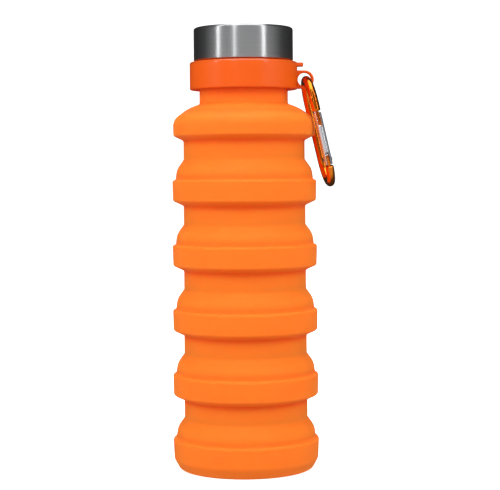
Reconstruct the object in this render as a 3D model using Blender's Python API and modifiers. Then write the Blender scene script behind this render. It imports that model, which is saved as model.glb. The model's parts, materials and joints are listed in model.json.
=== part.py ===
"""A folding water bottle: a silicone body of stacked bands that drop into each other,
a screw lid, a collar with a lug, and a snap hook that hangs from it.

The bottle stands on the XY plane with its axis on Z. The lug and the hook are on +X.
Every size is in metres.
"""

import math

import bmesh
import bpy
from mathutils import Matrix

MM = 0.001

# ---- Clearances --------------------------------------------------------------------
FACE_GAP = 0.3 * MM  # between two faces that rest on each other
HOOK_GAP = 0.15 * MM  # around the pins of the small hook

# ---- Silicone body: a base cup, bands that fold, and a shoulder --------------------
BASE_RADIUS = 36.85 * MM  # outside of the base cup
STAGE_TAPER = 0.18 * MM  # each stage is this much smaller in radius than the one below
RING_COUNT = 4
STAGE_PITCH = 32.5 * MM  # height from one band's top to the next
BASE_BAND_TOP = 15.5 * MM
BASE_FLOOR = 3.0 * MM
BASE_EDGE_ROUND = 5.2 * MM
BASE_FOOT_INSET = 3.4 * MM  # the side turns in to here at the bottom
BASE_FOOT_HEIGHT = 5.2 * MM
BAND_HEIGHT = 10.4 * MM
BAND_WALL = 3.7 * MM
BAND_TOP_ROUND = 1.0 * MM
BAND_FOOT_ROUND = 1.7 * MM
BAND_DRAFT = 0.2 * MM  # a band is this much smaller in radius at its foot
UNDERSIDE_DROP = 2.5 * MM  # how far the sloping underside falls from band to tube
TUBE_INSET = 5.55 * MM  # the tube's radius is this much less than its band's
TUBE_WALL = 1.8 * MM
STEP_WIDTH = 1.6 * MM  # ledge on top of a band
CUP_WALL_INSET = 2.25 * MM  # the cup wall leans in to here at its top
CUP_WALL_HEIGHT = 5.4 * MM
WEB_HEIGHT = 4.8 * MM  # the sloping fold between cup wall and tube
WEB_WALL = 1.3 * MM

# ---- Shoulder and neck ---------------------------------------------------------------
SHOULDER_INSET = 0.25 * MM  # the shoulder is this much less in radius than its stage
SHOULDER_RISE = 5.4 * MM  # neck root above the shoulder stage's band top
SHOULDER_WALL = 2.3 * MM
SHOULDER_ROUND = 6.5 * MM
SHOULDER_CROWN = 22.0 * MM
SHOULDER_EDGE = -2.4 * MM  # where the slope would meet the side, from the stage's band top
NECK_RADIUS = 22.15 * MM
NECK_WALL = 1.95 * MM
NECK_SHOWN = 7.1 * MM
BEAD_HEIGHT = 4.0 * MM
BEAD_WIDTH = 2.4 * MM

# ---- Collar ----------------------------------------------------------------------------
COLLAR_HEIGHT = 13.8 * MM
COLLAR_WALL = 2.1 * MM
COLLAR_RADIUS = NECK_RADIUS + BEAD_WIDTH + FACE_GAP + COLLAR_WALL
COLLAR_FLOOR = 4.0 * MM
COLLAR_TOP_ROUND = 1.7 * MM
LUG_HOLE_RADIUS = 3.3 * MM
LUG_RIM = 1.3 * MM
LUG_THICKNESS = 2.6 * MM
LUG_HEIGHT = 4.9 * MM  # lug hole's centre above the collar's foot
LUG_REACH = 0.2 * MM  # the hole's near edge from the collar's side
TAB_LENGTH = 3.0 * MM
TAB_WIDTH = 7.0 * MM
TAB_THICKNESS = 1.8 * MM
TAB_DROP = 0.5 * MM  # tab's top below the collar's top

# ---- Threaded mouth and lid ------------------------------------------------------------
SLEEVE_WALL = 1.7 * MM
MOUTH_SLEEVE_DEPTH = 13.5 * MM  # how far the sleeve reaches down inside the neck
SPOUT_RADIUS = NECK_RADIUS - 1.45 * MM
SPOUT_HEIGHT = 12.6 * MM  # rim above the collar's top
LID_HEIGHT = 16.2 * MM
LID_LIFT = 0.8 * MM  # shell's edge above the collar's top
LID_TOP_ROUND = 1.2 * MM
SHELL_WALL = 0.5 * MM
LINER_WALL = 1.6 * MM
THREAD_ROOM = 1.75 * MM  # between the spout's wall and the liner's
LID_RADIUS = SPOUT_RADIUS + THREAD_ROOM + LINER_WALL + FACE_GAP + SHELL_WALL
LINER_TOP = 1.5 * MM
LINER_SHOWN = 0.4 * MM  # liner's edge below the shell's
GASKET_THICKNESS = 1.3 * MM
GASKET_WIDTH = 5.1 * MM
THREAD_LEAD = 8.0 * MM
THREAD_STARTS = 2
THREAD_RADIUS = 0.9 * MM
THREAD_BITE = 0.2 * MM  # how far a ridge's middle stands off its wall
THREAD_FOOT = 2.4 * MM  # lowest ridge above the collar's top
SPOUT_THREAD_TURNS = 0.8
LID_THREAD_TURNS = 0.58

# ---- Snap hook ---------------------------------------------------------------------------
HOOK_TWIST = math.radians(4.8)
HOOK_LENGTH = 57.0 * MM
HOOK_WIDTH = 28.8 * MM
ROD_RADIUS = 2.1 * MM
HOOK_SHIFT = 1.3 * MM  # top of the bend from the lug's middle, along the hole
HOOK_BEND_ROOM = 0.4 * MM  # what the rod's bend takes of its room in the hole
HOOK_DROP_SHARE = 3 / 16  # the rod hangs down by this share of the room that is left
HEEL_RADIUS = 12.0 * MM  # bend at the hinge end
GATE_RADIUS = 2.05 * MM
GATE_LENGTH = 25.9 * MM
GATE_HEEL = 2.0 * MM  # gate's end past its rivet
GATE_TILT_IN = 1.8 * MM  # rivet sits this much nearer the spine than the nose
NOSE_LENGTH = 4.6 * MM  # straight part of the rod after the top bend
SLOT_WIDTH = 1.9 * MM
NOSE_SLOT = 7.4 * MM
HEEL_SLOT = 5.4 * MM
TONGUE_THICKNESS = 1.3 * MM
TONGUE_WIDTH = 3.3 * MM
NOSE_TONGUE = 7.0 * MM
HEEL_TONGUE_TOP = 2.0 * MM  # above the rivet
SHOULDER_TO_RIVET = 3.9 * MM
RIVET_RADIUS = 0.6 * MM
RIVET_HEAD = 1.1 * MM
RIVET_HEAD_THICKNESS = 0.5 * MM
LATCH_RADIUS = 0.5 * MM
LATCH_FROM_TOP = 3.4 * MM
LATCH_INSET = 0.4 * MM
LATCH_PLAY = 0.35 * MM
BORE_RADIUS = 1.35 * MM
BORE_LENGTH = 13.7 * MM
PLUNGER_RADIUS = 0.9 * MM
PLUNGER_LENGTH = 4.0 * MM
SPRING_RADIUS = 0.85 * MM
SPRING_WIRE = 0.17 * MM
SPRING_TURNS = 8

# ---- How finely round shapes are cut -------------------------------------------------------
BODY_STEPS = 36
LID_STEPS = 48
PIN_STEPS = 16
ROUND_STEPS = 3  # segments of a rounded corner
MERGE = 0.01 * MM


# ============================== helpers =====================================================
def clear_scene():
    for thing in list(bpy.data.objects):
        bpy.data.objects.remove(thing)


def new_collection(name):
    made = bpy.data.collections.new(name)
    bpy.context.scene.collection.children.link(made)
    return made


def finish(name, colour, roughness, metallic=0.0):
    made = bpy.data.materials.new(name)
    made.use_nodes = True
    shader = made.node_tree.nodes["Principled BSDF"]
    shader.inputs["Base Color"].default_value = (*colour, 1.0)
    shader.inputs["Roughness"].default_value = roughness
    shader.inputs["Metallic"].default_value = metallic
    return made


def add_object(name, data, parent=None, location=(0, 0, 0), material=None, helper=False):
    """Links a new object, places it from its parent, and hides it if it is a helper."""
    made = bpy.data.objects.new(name, data)
    (cutters if helper else bottle).objects.link(made)
    made.parent = parent
    made.location = location
    if material:
        data.materials.append(material)
    if helper:
        made.hide_render = True
        made.display_type = "WIRE"
    return made


def add_empty(name, parent=None, location=(0, 0, 0)):
    return add_object(name, None, parent, location)


def corner_arc(before, corner, after, radius, steps):
    """Points of an arc that rounds a corner between two straight runs."""
    to_before = (before[0] - corner[0], before[1] - corner[1])
    to_after = (after[0] - corner[0], after[1] - corner[1])
    length_before = math.hypot(*to_before)
    length_after = math.hypot(*to_after)
    unit_before = (to_before[0] / length_before, to_before[1] / length_before)
    unit_after = (to_after[0] / length_after, to_after[1] / length_after)
    cosine = unit_before[0] * unit_after[0] + unit_before[1] * unit_after[1]
    half = math.acos(max(-1.0, min(1.0, cosine))) / 2
    reach = min(radius / math.tan(half), 0.49 * length_before, 0.49 * length_after)
    radius = reach * math.tan(half)
    bisector = (unit_before[0] + unit_after[0], unit_before[1] + unit_after[1])
    scale = radius / math.sin(half) / math.hypot(*bisector)
    centre = (corner[0] + bisector[0] * scale, corner[1] + bisector[1] * scale)
    start = (corner[0] + unit_before[0] * reach, corner[1] + unit_before[1] * reach)
    end = (corner[0] + unit_after[0] * reach, corner[1] + unit_after[1] * reach)
    first = math.atan2(start[1] - centre[1], start[0] - centre[0])
    turn = math.atan2(end[1] - centre[1], end[0] - centre[0]) - first
    turn = (turn + math.pi) % math.tau - math.pi
    return [
        (
            centre[0] + radius * math.cos(first + turn * i / steps),
            centre[1] + radius * math.sin(first + turn * i / steps),
        )
        for i in range(steps + 1)
    ]


def rounded(corners, closed, steps=ROUND_STEPS):
    """Points of an outline whose corners are (x, y) or, where rounded, (x, y, radius)."""
    points = []
    for i, corner in enumerate(corners):
        at_end = not closed and i in (0, len(corners) - 1)
        if len(corner) == 2 or at_end:
            points.append(corner[:2])
        else:
            after = corners[(i + 1) % len(corners)]
            points += corner_arc(corners[i - 1], corner, after, corner[2], steps)
    return points


def turned(name, corners, closed, steps, parent, location, material):
    """A body turned round Z from a profile that runs down its outer side."""
    points = rounded(corners, closed)
    edges = [(i, i + 1) for i in range(len(points) - 1)]
    if closed:
        edges.append((len(points) - 1, 0))
    mesh = bpy.data.meshes.new(name)
    mesh.from_pydata([(x, 0, z) for x, z in points], edges, [])
    made = add_object(name, mesh, parent, location, material)
    screw = made.modifiers.new("turn", "SCREW")
    screw.axis = "Z"
    screw.angle = math.tau
    screw.steps = screw.render_steps = steps
    screw.use_merge_vertices = True
    screw.merge_threshold = MERGE
    screw.use_smooth_shade = True
    return made


def mesh_from_curve(curve_object, helper, material=None):
    """Replaces a curve object with a mesh of the same shape, its caps welded on."""
    bpy.context.view_layer.update()
    graph = bpy.context.evaluated_depsgraph_get()
    mesh = bpy.data.meshes.new_from_object(curve_object.evaluated_get(graph))
    shape = bmesh.new()
    shape.from_mesh(mesh)
    bmesh.ops.remove_doubles(shape, verts=shape.verts, dist=MERGE)
    bmesh.ops.recalc_face_normals(shape, faces=shape.faces)
    shape.to_mesh(mesh)
    shape.free()
    name, parent = curve_object.name, curve_object.parent
    world = curve_object.matrix_world.copy()
    bpy.data.objects.remove(curve_object)
    made = add_object(name, mesh, parent, (0, 0, 0), material, helper)
    made.matrix_world = world
    return made


def tube(name, points, radius, resolution, parent, radii=None):
    """A round bar along points, with filled ends."""
    curve = bpy.data.curves.new(name, "CURVE")
    curve.dimensions = "3D"
    curve.bevel_depth = radius
    curve.bevel_resolution = resolution
    curve.use_fill_caps = True
    spline = curve.splines.new("POLY")
    spline.points.add(len(points) - 1)
    for i, point in enumerate(points):
        spline.points[i].co = (*point, 1)
        spline.points[i].radius = radii[i] if radii else 1.0
    return add_object(name, curve, parent)


def plate(name, outlines, thickness, parent, location=(0, 0, 0)):
    """A flat helper of the given outlines in its own XY plane; a second outline is a hole."""
    curve = bpy.data.curves.new(name, "CURVE")
    curve.dimensions = "2D"
    curve.fill_mode = "BOTH"
    curve.extrude = thickness / 2
    for outline in outlines:
        spline = curve.splines.new("POLY")
        spline.points.add(len(outline) - 1)
        for i, (x, y) in enumerate(outline):
            spline.points[i].co = (x, y, 0, 1)
        spline.use_cyclic_u = True
    return add_object(name, curve, parent, location)


def circle(centre_x, centre_y, radius, steps):
    return [
        (
            centre_x + radius * math.cos(math.tau * i / steps),
            centre_y + radius * math.sin(math.tau * i / steps),
        )
        for i in range(steps)
    ]


def cylinder(name, radius, length, parent, location=(0, 0, 0), material=None, helper=True):
    """A cylinder along its own Z, centred on its origin."""
    mesh = bpy.data.meshes.new(name)
    shape = bmesh.new()
    bmesh.ops.create_cone(
        shape, cap_ends=True, segments=PIN_STEPS, radius1=radius, radius2=radius, depth=length
    )
    shape.to_mesh(mesh)
    shape.free()
    return add_object(name, mesh, parent, location, material, helper)


def box(name, size, parent, location=(0, 0, 0)):
    mesh = bpy.data.meshes.new(name)
    shape = bmesh.new()
    bmesh.ops.create_cube(shape, size=1.0, matrix=Matrix.Diagonal((*size, 1)))
    shape.to_mesh(mesh)
    shape.free()
    return add_object(name, mesh, parent, location, helper=True)


def join_or_cut(target, operation, *others):
    for other in others:
        modifier = target.modifiers.new(other.name, "BOOLEAN")
        modifier.operation = operation
        modifier.solver = "EXACT"
        modifier.object = other


# ============================== the silicone body ===========================================
def stage_radius(stage):
    """Band radius of a stage: 0 is the base cup, the last one is the shoulder."""
    return BASE_RADIUS - stage * STAGE_TAPER


def cup_wall_side(radius):
    """Outer side of the wall that a web hangs on, down to the band's rounded top corner."""
    return [
        (radius - CUP_WALL_INSET, CUP_WALL_HEIGHT - FACE_GAP / 2),
        (radius - STEP_WIDTH, 0),
        (radius, 0, BAND_TOP_ROUND),
    ]


def band_foot(radius, tube_radius):
    """From the foot of a band along its underside, down the tube, and up inside it."""
    tube_foot = CUP_WALL_HEIGHT + WEB_HEIGHT - STAGE_PITCH + FACE_GAP / 2
    return [
        (radius - BAND_DRAFT, -BAND_HEIGHT, BAND_FOOT_ROUND),
        (tube_radius, -BAND_HEIGHT - UNDERSIDE_DROP),
        (tube_radius, tube_foot),
        (tube_radius - TUBE_WALL, tube_foot),
        (tube_radius - TUBE_WALL, -BAND_HEIGHT - UNDERSIDE_DROP + TUBE_WALL),
        (radius - BAND_WALL, -BAND_HEIGHT + 0.2 * BAND_WALL),
    ]


def make_base_cup():
    radius = stage_radius(0)
    inside = radius - BAND_WALL
    floor = BASE_FLOOR - BASE_BAND_TOP
    top = CUP_WALL_HEIGHT - FACE_GAP / 2
    inner = [(0, floor), (inside, floor, BASE_EDGE_ROUND), (inside, top)]
    outer = [
        (radius - 2 * BAND_DRAFT, BASE_FOOT_HEIGHT - BASE_BAND_TOP, BASE_EDGE_ROUND),
        (radius - BASE_FOOT_INSET, -BASE_BAND_TOP, BASE_EDGE_ROUND / 2),
        (0, -BASE_BAND_TOP),
    ]
    corners = inner + cup_wall_side(radius) + outer
    place = (0, 0, BASE_BAND_TOP)
    return turned("base_cup", corners, False, BODY_STEPS, None, place, silicone)


def make_fold_ring(stage, below):
    radius = stage_radius(stage)
    top = [(radius - BAND_WALL, CUP_WALL_HEIGHT - FACE_GAP / 2)]
    corners = cup_wall_side(radius) + band_foot(radius, radius - TUBE_INSET) + top
    place = (0, 0, STAGE_PITCH)
    name = f"fold_ring_{stage}"
    return turned(name, corners, True, BODY_STEPS, below, place, silicone)


def make_fold_web(stage, below):
    """The thin slope between one stage's cup wall and the next stage's tube."""
    low_radius = stage_radius(stage - 1) - CUP_WALL_INSET
    high_radius = stage_radius(stage) - TUBE_INSET
    low = CUP_WALL_HEIGHT + FACE_GAP / 2
    high = CUP_WALL_HEIGHT + WEB_HEIGHT - FACE_GAP / 2
    corners = [
        (high_radius, high),
        (low_radius, low),
        (low_radius - WEB_WALL, low),
        (high_radius - WEB_WALL, high),
    ]
    name = f"fold_web_{stage}"
    return turned(name, corners, True, BODY_STEPS, below, (0, 0, 0), silicone)


def make_shoulder(stage, below):
    radius = stage_radius(stage) - SHOULDER_INSET
    bead_foot = SHOULDER_RISE + NECK_SHOWN + COLLAR_FLOOR + FACE_GAP
    bead_top = bead_foot + BEAD_HEIGHT
    neck_inside = NECK_RADIUS - NECK_WALL
    crown_radius = (NECK_RADIUS + radius) / 2 - MM
    crown_height = SHOULDER_RISE - 2.1 * MM
    outer = [
        (NECK_RADIUS + BEAD_WIDTH, bead_top, 0.5 * MM),
        (NECK_RADIUS + BEAD_WIDTH, bead_foot),
        (NECK_RADIUS, bead_foot),
        (NECK_RADIUS, SHOULDER_RISE, 0.8 * MM),
        (crown_radius, crown_height, SHOULDER_CROWN),
        (radius, SHOULDER_EDGE, SHOULDER_ROUND),
    ]
    inner = [
        (radius - SHOULDER_WALL, SHOULDER_EDGE - SHOULDER_WALL / 2, SHOULDER_ROUND - SHOULDER_WALL),
        (crown_radius, crown_height - SHOULDER_WALL, SHOULDER_CROWN),
        (neck_inside, SHOULDER_RISE - SHOULDER_WALL, 1.5 * MM),
        (neck_inside, bead_top),
    ]
    foot = band_foot(radius, stage_radius(stage) - TUBE_INSET)
    foot[-1] = (radius - SHOULDER_WALL - 0.6 * MM, -BAND_HEIGHT + 1.2 * MM)
    corners = outer + foot + inner
    place = (0, 0, STAGE_PITCH)
    return turned("shoulder_neck", corners, True, BODY_STEPS, below, place, silicone)


# ============================== collar ======================================================
def make_collar(neck, foot_height):
    hole = NECK_RADIUS + FACE_GAP
    cavity = COLLAR_RADIUS - COLLAR_WALL
    corners = [
        (COLLAR_RADIUS, COLLAR_HEIGHT, COLLAR_TOP_ROUND),
        (COLLAR_RADIUS, 0, 0.6 * MM),
        (hole, 0),
        (hole, COLLAR_FLOOR),
        (cavity, COLLAR_FLOOR),
        (cavity, COLLAR_HEIGHT),
    ]
    place = (0, 0, foot_height)
    collar = turned("collar_ring", corners, True, LID_STEPS, neck, place, hard_plastic)

    root = cavity + COLLAR_WALL / 3
    hole_x, hole_z = lug_hole_centre()
    rim = LUG_HOLE_RADIUS + LUG_RIM
    rim_centre = hole_x + 0.2 * MM
    quarter = [-math.pi / 2 + math.pi * i / 14 for i in range(15)]
    lug_outline = [(root, hole_z - rim)]
    lug_outline += [(rim_centre + rim * math.cos(a), hole_z + rim * math.sin(a)) for a in quarter]
    lug_outline += [(root, hole_z + rim)]
    lug_hole = circle(hole_x, hole_z, LUG_HOLE_RADIUS, 24)
    lug = plate("lug", [lug_outline, lug_hole], LUG_THICKNESS, collar)
    lug.rotation_euler = (math.pi / 2, 0, 0)
    lug = mesh_from_curve(lug, helper=True)

    tab_end = COLLAR_RADIUS + TAB_LENGTH
    tab_corners = [
        (root, -TAB_WIDTH / 2),
        (tab_end, -TAB_WIDTH / 2, 1.2 * MM),
        (tab_end, TAB_WIDTH / 2, 1.2 * MM),
        (root, TAB_WIDTH / 2),
    ]
    tab_height = COLLAR_HEIGHT - TAB_DROP - TAB_THICKNESS / 2
    tab = plate("tab", [rounded(tab_corners, True)], TAB_THICKNESS, collar, (0, 0, tab_height))
    tab = mesh_from_curve(tab, helper=True)
    join_or_cut(collar, "UNION", lug, tab)
    return collar


def lug_hole_centre():
    """X from the axis, and Z from the collar's foot."""
    return COLLAR_RADIUS + LUG_REACH + LUG_HOLE_RADIUS, LUG_HEIGHT


# ============================== mouth and lid ===============================================
def thread_ridge(name, wall_radius, outward, first_turn, turns, foot, parent):
    """One round ridge of a right-hand thread on a wall, fading out at both ends."""
    side = THREAD_BITE if outward else -THREAD_BITE
    steps = round(turns * 36)
    points = []
    radii = []
    for i in range(steps + 1):
        turn = first_turn + turns * i / steps
        angle = math.tau * turn
        ridge_radius = wall_radius + side
        height = foot + THREAD_LEAD * (turn - first_turn)
        points.append((ridge_radius * math.cos(angle), ridge_radius * math.sin(angle), height))
        from_end = min(i, steps - i)
        radii.append(min(1.0, 0.55 + 0.15 * from_end))
    ridge = tube(name, points, THREAD_RADIUS, 2, parent, radii)
    return mesh_from_curve(ridge, helper=True)


def make_mouth(neck, collar_foot):
    """Origin at the collar's top, which the flange is level with."""
    flange = COLLAR_RADIUS - COLLAR_WALL - FACE_GAP
    flange_foot = COLLAR_FLOOR + BEAD_HEIGHT + 2 * FACE_GAP - COLLAR_HEIGHT
    sleeve = NECK_RADIUS - NECK_WALL - FACE_GAP
    sleeve_foot = flange_foot - MOUTH_SLEEVE_DEPTH
    corners = [
        (SPOUT_RADIUS, SPOUT_HEIGHT, 0.6 * MM),
        (SPOUT_RADIUS, 0),
        (flange, 0),
        (flange, flange_foot),
        (sleeve, flange_foot),
        (sleeve, sleeve_foot),
        (sleeve - SLEEVE_WALL, sleeve_foot),
        (sleeve - SLEEVE_WALL, SPOUT_HEIGHT, 0.6 * MM),
    ]
    place = (0, 0, collar_foot + COLLAR_HEIGHT)
    mouth = turned("threaded_mouth", corners, True, LID_STEPS, neck, place, hard_plastic)
    for start in range(THREAD_STARTS):
        ridge = thread_ridge(
            f"spout_ridge_{start + 1}",
            SPOUT_RADIUS,
            True,
            start / THREAD_STARTS,
            SPOUT_THREAD_TURNS,
            THREAD_FOOT,
            mouth,
        )
        join_or_cut(mouth, "UNION", ridge)
    return mouth


def make_lid(mouth):
    """Shell, liner and gasket, all measured from the collar's top."""
    top = LID_LIFT + LID_HEIGHT
    shell_inside = LID_RADIUS - SHELL_WALL
    shell_corners = [
        (0, top),
        (LID_RADIUS, top, LID_TOP_ROUND),
        (LID_RADIUS, LID_LIFT),
        (shell_inside, LID_LIFT),
        (shell_inside, top - SHELL_WALL, LID_TOP_ROUND - SHELL_WALL / 2),
        (0, top - SHELL_WALL),
    ]
    turned("lid_shell", shell_corners, False, LID_STEPS, mouth, (0, 0, 0), steel)

    liner_radius = shell_inside - FACE_GAP
    liner_inside = liner_radius - LINER_WALL
    liner_top = top - SHELL_WALL - FACE_GAP
    liner_ceiling = liner_top - LINER_TOP
    liner_foot = LID_LIFT - LINER_SHOWN
    liner_corners = [
        (0, liner_top),
        (liner_radius, liner_top, LID_TOP_ROUND),
        (liner_radius, liner_foot),
        (liner_inside, liner_foot),
        (liner_inside, liner_ceiling),
        (0, liner_ceiling),
    ]
    liner = turned("lid_liner", liner_corners, False, LID_STEPS, mouth, (0, 0, 0), hard_plastic)
    half_gap = THREAD_LEAD / THREAD_STARTS / 2
    foot = THREAD_FOOT - 0.4 * MM
    first = (foot - half_gap - THREAD_FOOT) / THREAD_LEAD
    for start in range(THREAD_STARTS):
        ridge = thread_ridge(
            f"lid_ridge_{start + 1}",
            liner_inside,
            False,
            first + start / THREAD_STARTS,
            LID_THREAD_TURNS,
            foot,
            liner,
        )
        join_or_cut(liner, "UNION", ridge)

    gasket_radius = liner_inside - FACE_GAP
    gasket_top = liner_ceiling - FACE_GAP
    gasket_corners = [
        (gasket_radius, gasket_top),
        (gasket_radius, gasket_top - GASKET_THICKNESS),
        (gasket_radius - GASKET_WIDTH, gasket_top - GASKET_THICKNESS),
        (gasket_radius - GASKET_WIDTH, gasket_top),
    ]
    turned("lid_gasket", gasket_corners, True, LID_STEPS, mouth, (0, 0, 0), gasket_rubber)


# ============================== snap hook ===================================================
# The hook lies in its own XY plane: +X is towards the gate, +Y is up along the hook,
# and the origin is the middle of the rod where it passes through the lug.
def rod_room():
    """How far outwards the rod's middle lies from the middle of the lug's hole."""
    return LUG_HOLE_RADIUS - ROD_RADIUS - HOOK_BEND_ROOM


def top_bend():
    return HOOK_WIDTH / 2 - ROD_RADIUS


def rivet_place():
    """The gate's rivet, found from where the nose ends."""
    nose_end = top_bend() + NOSE_LENGTH + HOOK_GAP * 2
    return top_bend() - GATE_TILT_IN, -(nose_end + GATE_LENGTH - GATE_HEEL)


def hook_lean():
    """How far the hook leans out so that its spine just clears the shoulder's side."""
    hole_x, hole_z = lug_hole_centre()
    shoulder_radius = stage_radius(RING_COUNT + 1) - SHOULDER_INSET
    touch = shoulder_radius + ROD_RADIUS + FACE_GAP
    spine_y = HOOK_SHIFT + top_bend()
    spine_x = math.sqrt(touch**2 - spine_y**2) + top_bend() * math.sin(HOOK_TWIST)
    side_height = SHOULDER_EDGE - 0.6 * SHOULDER_ROUND
    drop = SHOULDER_RISE + NECK_SHOWN + hole_z - rod_room() * HOOK_DROP_SHARE - side_height
    return math.asin((spine_x - hole_x - rod_room()) / drop)


def hook_path():
    """Middle of the rod from the hinge end, round the heel, up the spine and over to the nose."""
    bend = top_bend()
    rivet_x, rivet_y = rivet_place()
    spine_foot = -(HOOK_LENGTH - 2 * ROD_RADIUS - HEEL_RADIUS)
    heel_x = HEEL_RADIUS - bend
    hinge_drop = spine_foot - (rivet_y - SHOULDER_TO_RIVET)
    start_angle = -math.asin(hinge_drop / HEEL_RADIUS)
    path = []
    for i in range(17):
        angle = start_angle - (start_angle + math.pi) * i / 16 if i else start_angle
        path.append(
            (heel_x + HEEL_RADIUS * math.cos(angle), spine_foot + HEEL_RADIUS * math.sin(angle), 0)
        )
    path.append((-bend, -bend - 6 * MM, 0))
    for i in range(15):
        angle = math.pi - math.pi * i / 14
        path.append((bend * math.cos(angle), -bend + bend * math.sin(angle), 0))
    path.append((bend, -bend - NOSE_LENGTH, 0))
    return path


def make_hook_frame(hook):
    rod = tube("carabiner_frame", hook_path(), ROD_RADIUS, 3, hook)
    frame = mesh_from_curve(rod, helper=False, material=anodised)
    bend = top_bend()
    half_tongue = TONGUE_WIDTH / 2

    # The nose tongue, with a notch that hooks the gate's latch pin from the outside.
    nose_foot = -bend - NOSE_LENGTH
    tongue_end = nose_foot - NOSE_TONGUE
    latch_y = nose_foot - 2 * HOOK_GAP - LATCH_FROM_TOP
    notch = LATCH_RADIUS + LATCH_PLAY
    notch_floor = bend - LATCH_INSET + notch
    nose_outline = [
        (bend - half_tongue, nose_foot + MM),
        (bend - half_tongue, latch_y + notch),
        (notch_floor, latch_y + notch),
        (notch_floor, latch_y - notch),
        (bend - half_tongue, latch_y - notch),
        (bend - half_tongue, tongue_end, 0.8 * MM),
        (bend + half_tongue, tongue_end, 0.8 * MM),
        (bend + half_tongue, nose_foot + MM),
    ]
    nose = plate("nose_tongue", [rounded(nose_outline, True)], TONGUE_THICKNESS, hook)
    nose = mesh_from_curve(nose, helper=True)

    # The heel tongue, which the gate's fork straddles.
    rivet_x, rivet_y = rivet_place()
    heel_outline = [
        (rivet_x - half_tongue - 0.6 * MM, rivet_y - SHOULDER_TO_RIVET - 1.5 * MM),
        (rivet_x + half_tongue - 1.2 * MM, rivet_y - SHOULDER_TO_RIVET - 1.5 * MM),
        (rivet_x + half_tongue, rivet_y + HEEL_TONGUE_TOP, 0.4 * MM),
        (rivet_x - half_tongue, rivet_y + HEEL_TONGUE_TOP, 0.4 * MM),
    ]
    heel = plate("heel_tongue", [rounded(heel_outline, True)], TONGUE_THICKNESS, hook)
    heel = mesh_from_curve(heel, helper=True)
    hole = cylinder(
        "heel_hole", RIVET_RADIUS + HOOK_GAP, 6 * ROD_RADIUS, hook, (rivet_x, rivet_y, 0)
    )
    join_or_cut(frame, "UNION", nose, heel)
    join_or_cut(frame, "DIFFERENCE", hole)


def make_gate(hook):
    """The gate and what is in it. Its own Y runs up the gate from the rivet."""
    rivet_x, rivet_y = rivet_place()
    pivot = add_empty("gate_pivot", hook, (rivet_x, rivet_y, 0))
    pivot.rotation_euler = (0, 0, -math.asin(GATE_TILT_IN / GATE_LENGTH))
    top = GATE_LENGTH - GATE_HEEL

    side = [(0, top), (GATE_RADIUS, top, 0.3 * MM), (GATE_RADIUS, -GATE_HEEL, 0.3 * MM)]
    gate = turned(
        "carabiner_gate", side + [(0, -GATE_HEEL)], False, PIN_STEPS, pivot, (0, 0, 0), aluminium
    )
    gate.rotation_euler = (-math.pi / 2, 0, 0)
    wide = 4 * GATE_RADIUS
    nose_slot = box("nose_slot", (wide, 2 * NOSE_SLOT, SLOT_WIDTH), pivot, (0, top, 0))
    heel_slot_y = -GATE_HEEL
    heel_slot = box("heel_slot", (wide, 2 * HEEL_SLOT, SLOT_WIDTH), pivot, (0, heel_slot_y, 0))
    bore_middle = HEEL_TONGUE_TOP + BORE_LENGTH / 2
    bore = cylinder("spring_bore", BORE_RADIUS, BORE_LENGTH, pivot, (0, bore_middle, 0))
    bore.rotation_euler = (math.pi / 2, 0, 0)
    rivet_hole = cylinder("rivet_hole", RIVET_RADIUS + HOOK_GAP, wide, pivot)
    latch_place = (-LATCH_INSET, top - LATCH_FROM_TOP, 0)
    latch_hole = cylinder("latch_hole", LATCH_RADIUS + HOOK_GAP, wide, pivot, latch_place)
    join_or_cut(gate, "DIFFERENCE", nose_slot, heel_slot, bore, rivet_hole, latch_hole)

    half_latch = GATE_RADIUS - HOOK_GAP
    cylinder("latch_pin", LATCH_RADIUS, 2 * half_latch, pivot, latch_place, steel, helper=False)

    head_foot = GATE_RADIUS + HOOK_GAP
    head_top = head_foot + RIVET_HEAD_THICKNESS
    rivet_corners = [
        (0, head_top),
        (RIVET_HEAD, head_top, 0.3 * MM),
        (RIVET_HEAD, head_foot),
        (RIVET_RADIUS, head_foot),
        (RIVET_RADIUS, -head_foot),
        (RIVET_HEAD, -head_foot),
        (RIVET_HEAD, -head_top, 0.3 * MM),
        (0, -head_top),
    ]
    turned("gate_rivet", rivet_corners, False, PIN_STEPS, pivot, (0, 0, 0), steel)

    plunger_foot = HEEL_TONGUE_TOP + FACE_GAP
    plunger_top = plunger_foot + PLUNGER_LENGTH
    plunger_corners = [
        (0, PLUNGER_LENGTH),
        (PLUNGER_RADIUS, PLUNGER_LENGTH, 0.2 * MM),
        (PLUNGER_RADIUS, 0, 0.4 * MM),
        (0, 0),
    ]
    plunger = turned(
        "gate_plunger", plunger_corners, False, PIN_STEPS, pivot, (0, plunger_foot, 0), steel
    )
    plunger.rotation_euler = (-math.pi / 2, 0, 0)

    spring_foot = plunger_top + SPRING_WIRE + HOOK_GAP
    spring_top = HEEL_TONGUE_TOP + BORE_LENGTH - SPRING_WIRE - HOOK_GAP
    steps = SPRING_TURNS * 9
    coil = []
    for i in range(steps + 1):
        angle = math.tau * SPRING_TURNS * i / steps
        height = spring_foot + (spring_top - spring_foot) * i / steps
        coil.append((SPRING_RADIUS * math.cos(angle), height, SPRING_RADIUS * math.sin(angle)))
    spring = tube("gate_spring", coil, SPRING_WIRE, 1, pivot)
    spring.data.materials.append(steel)


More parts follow.
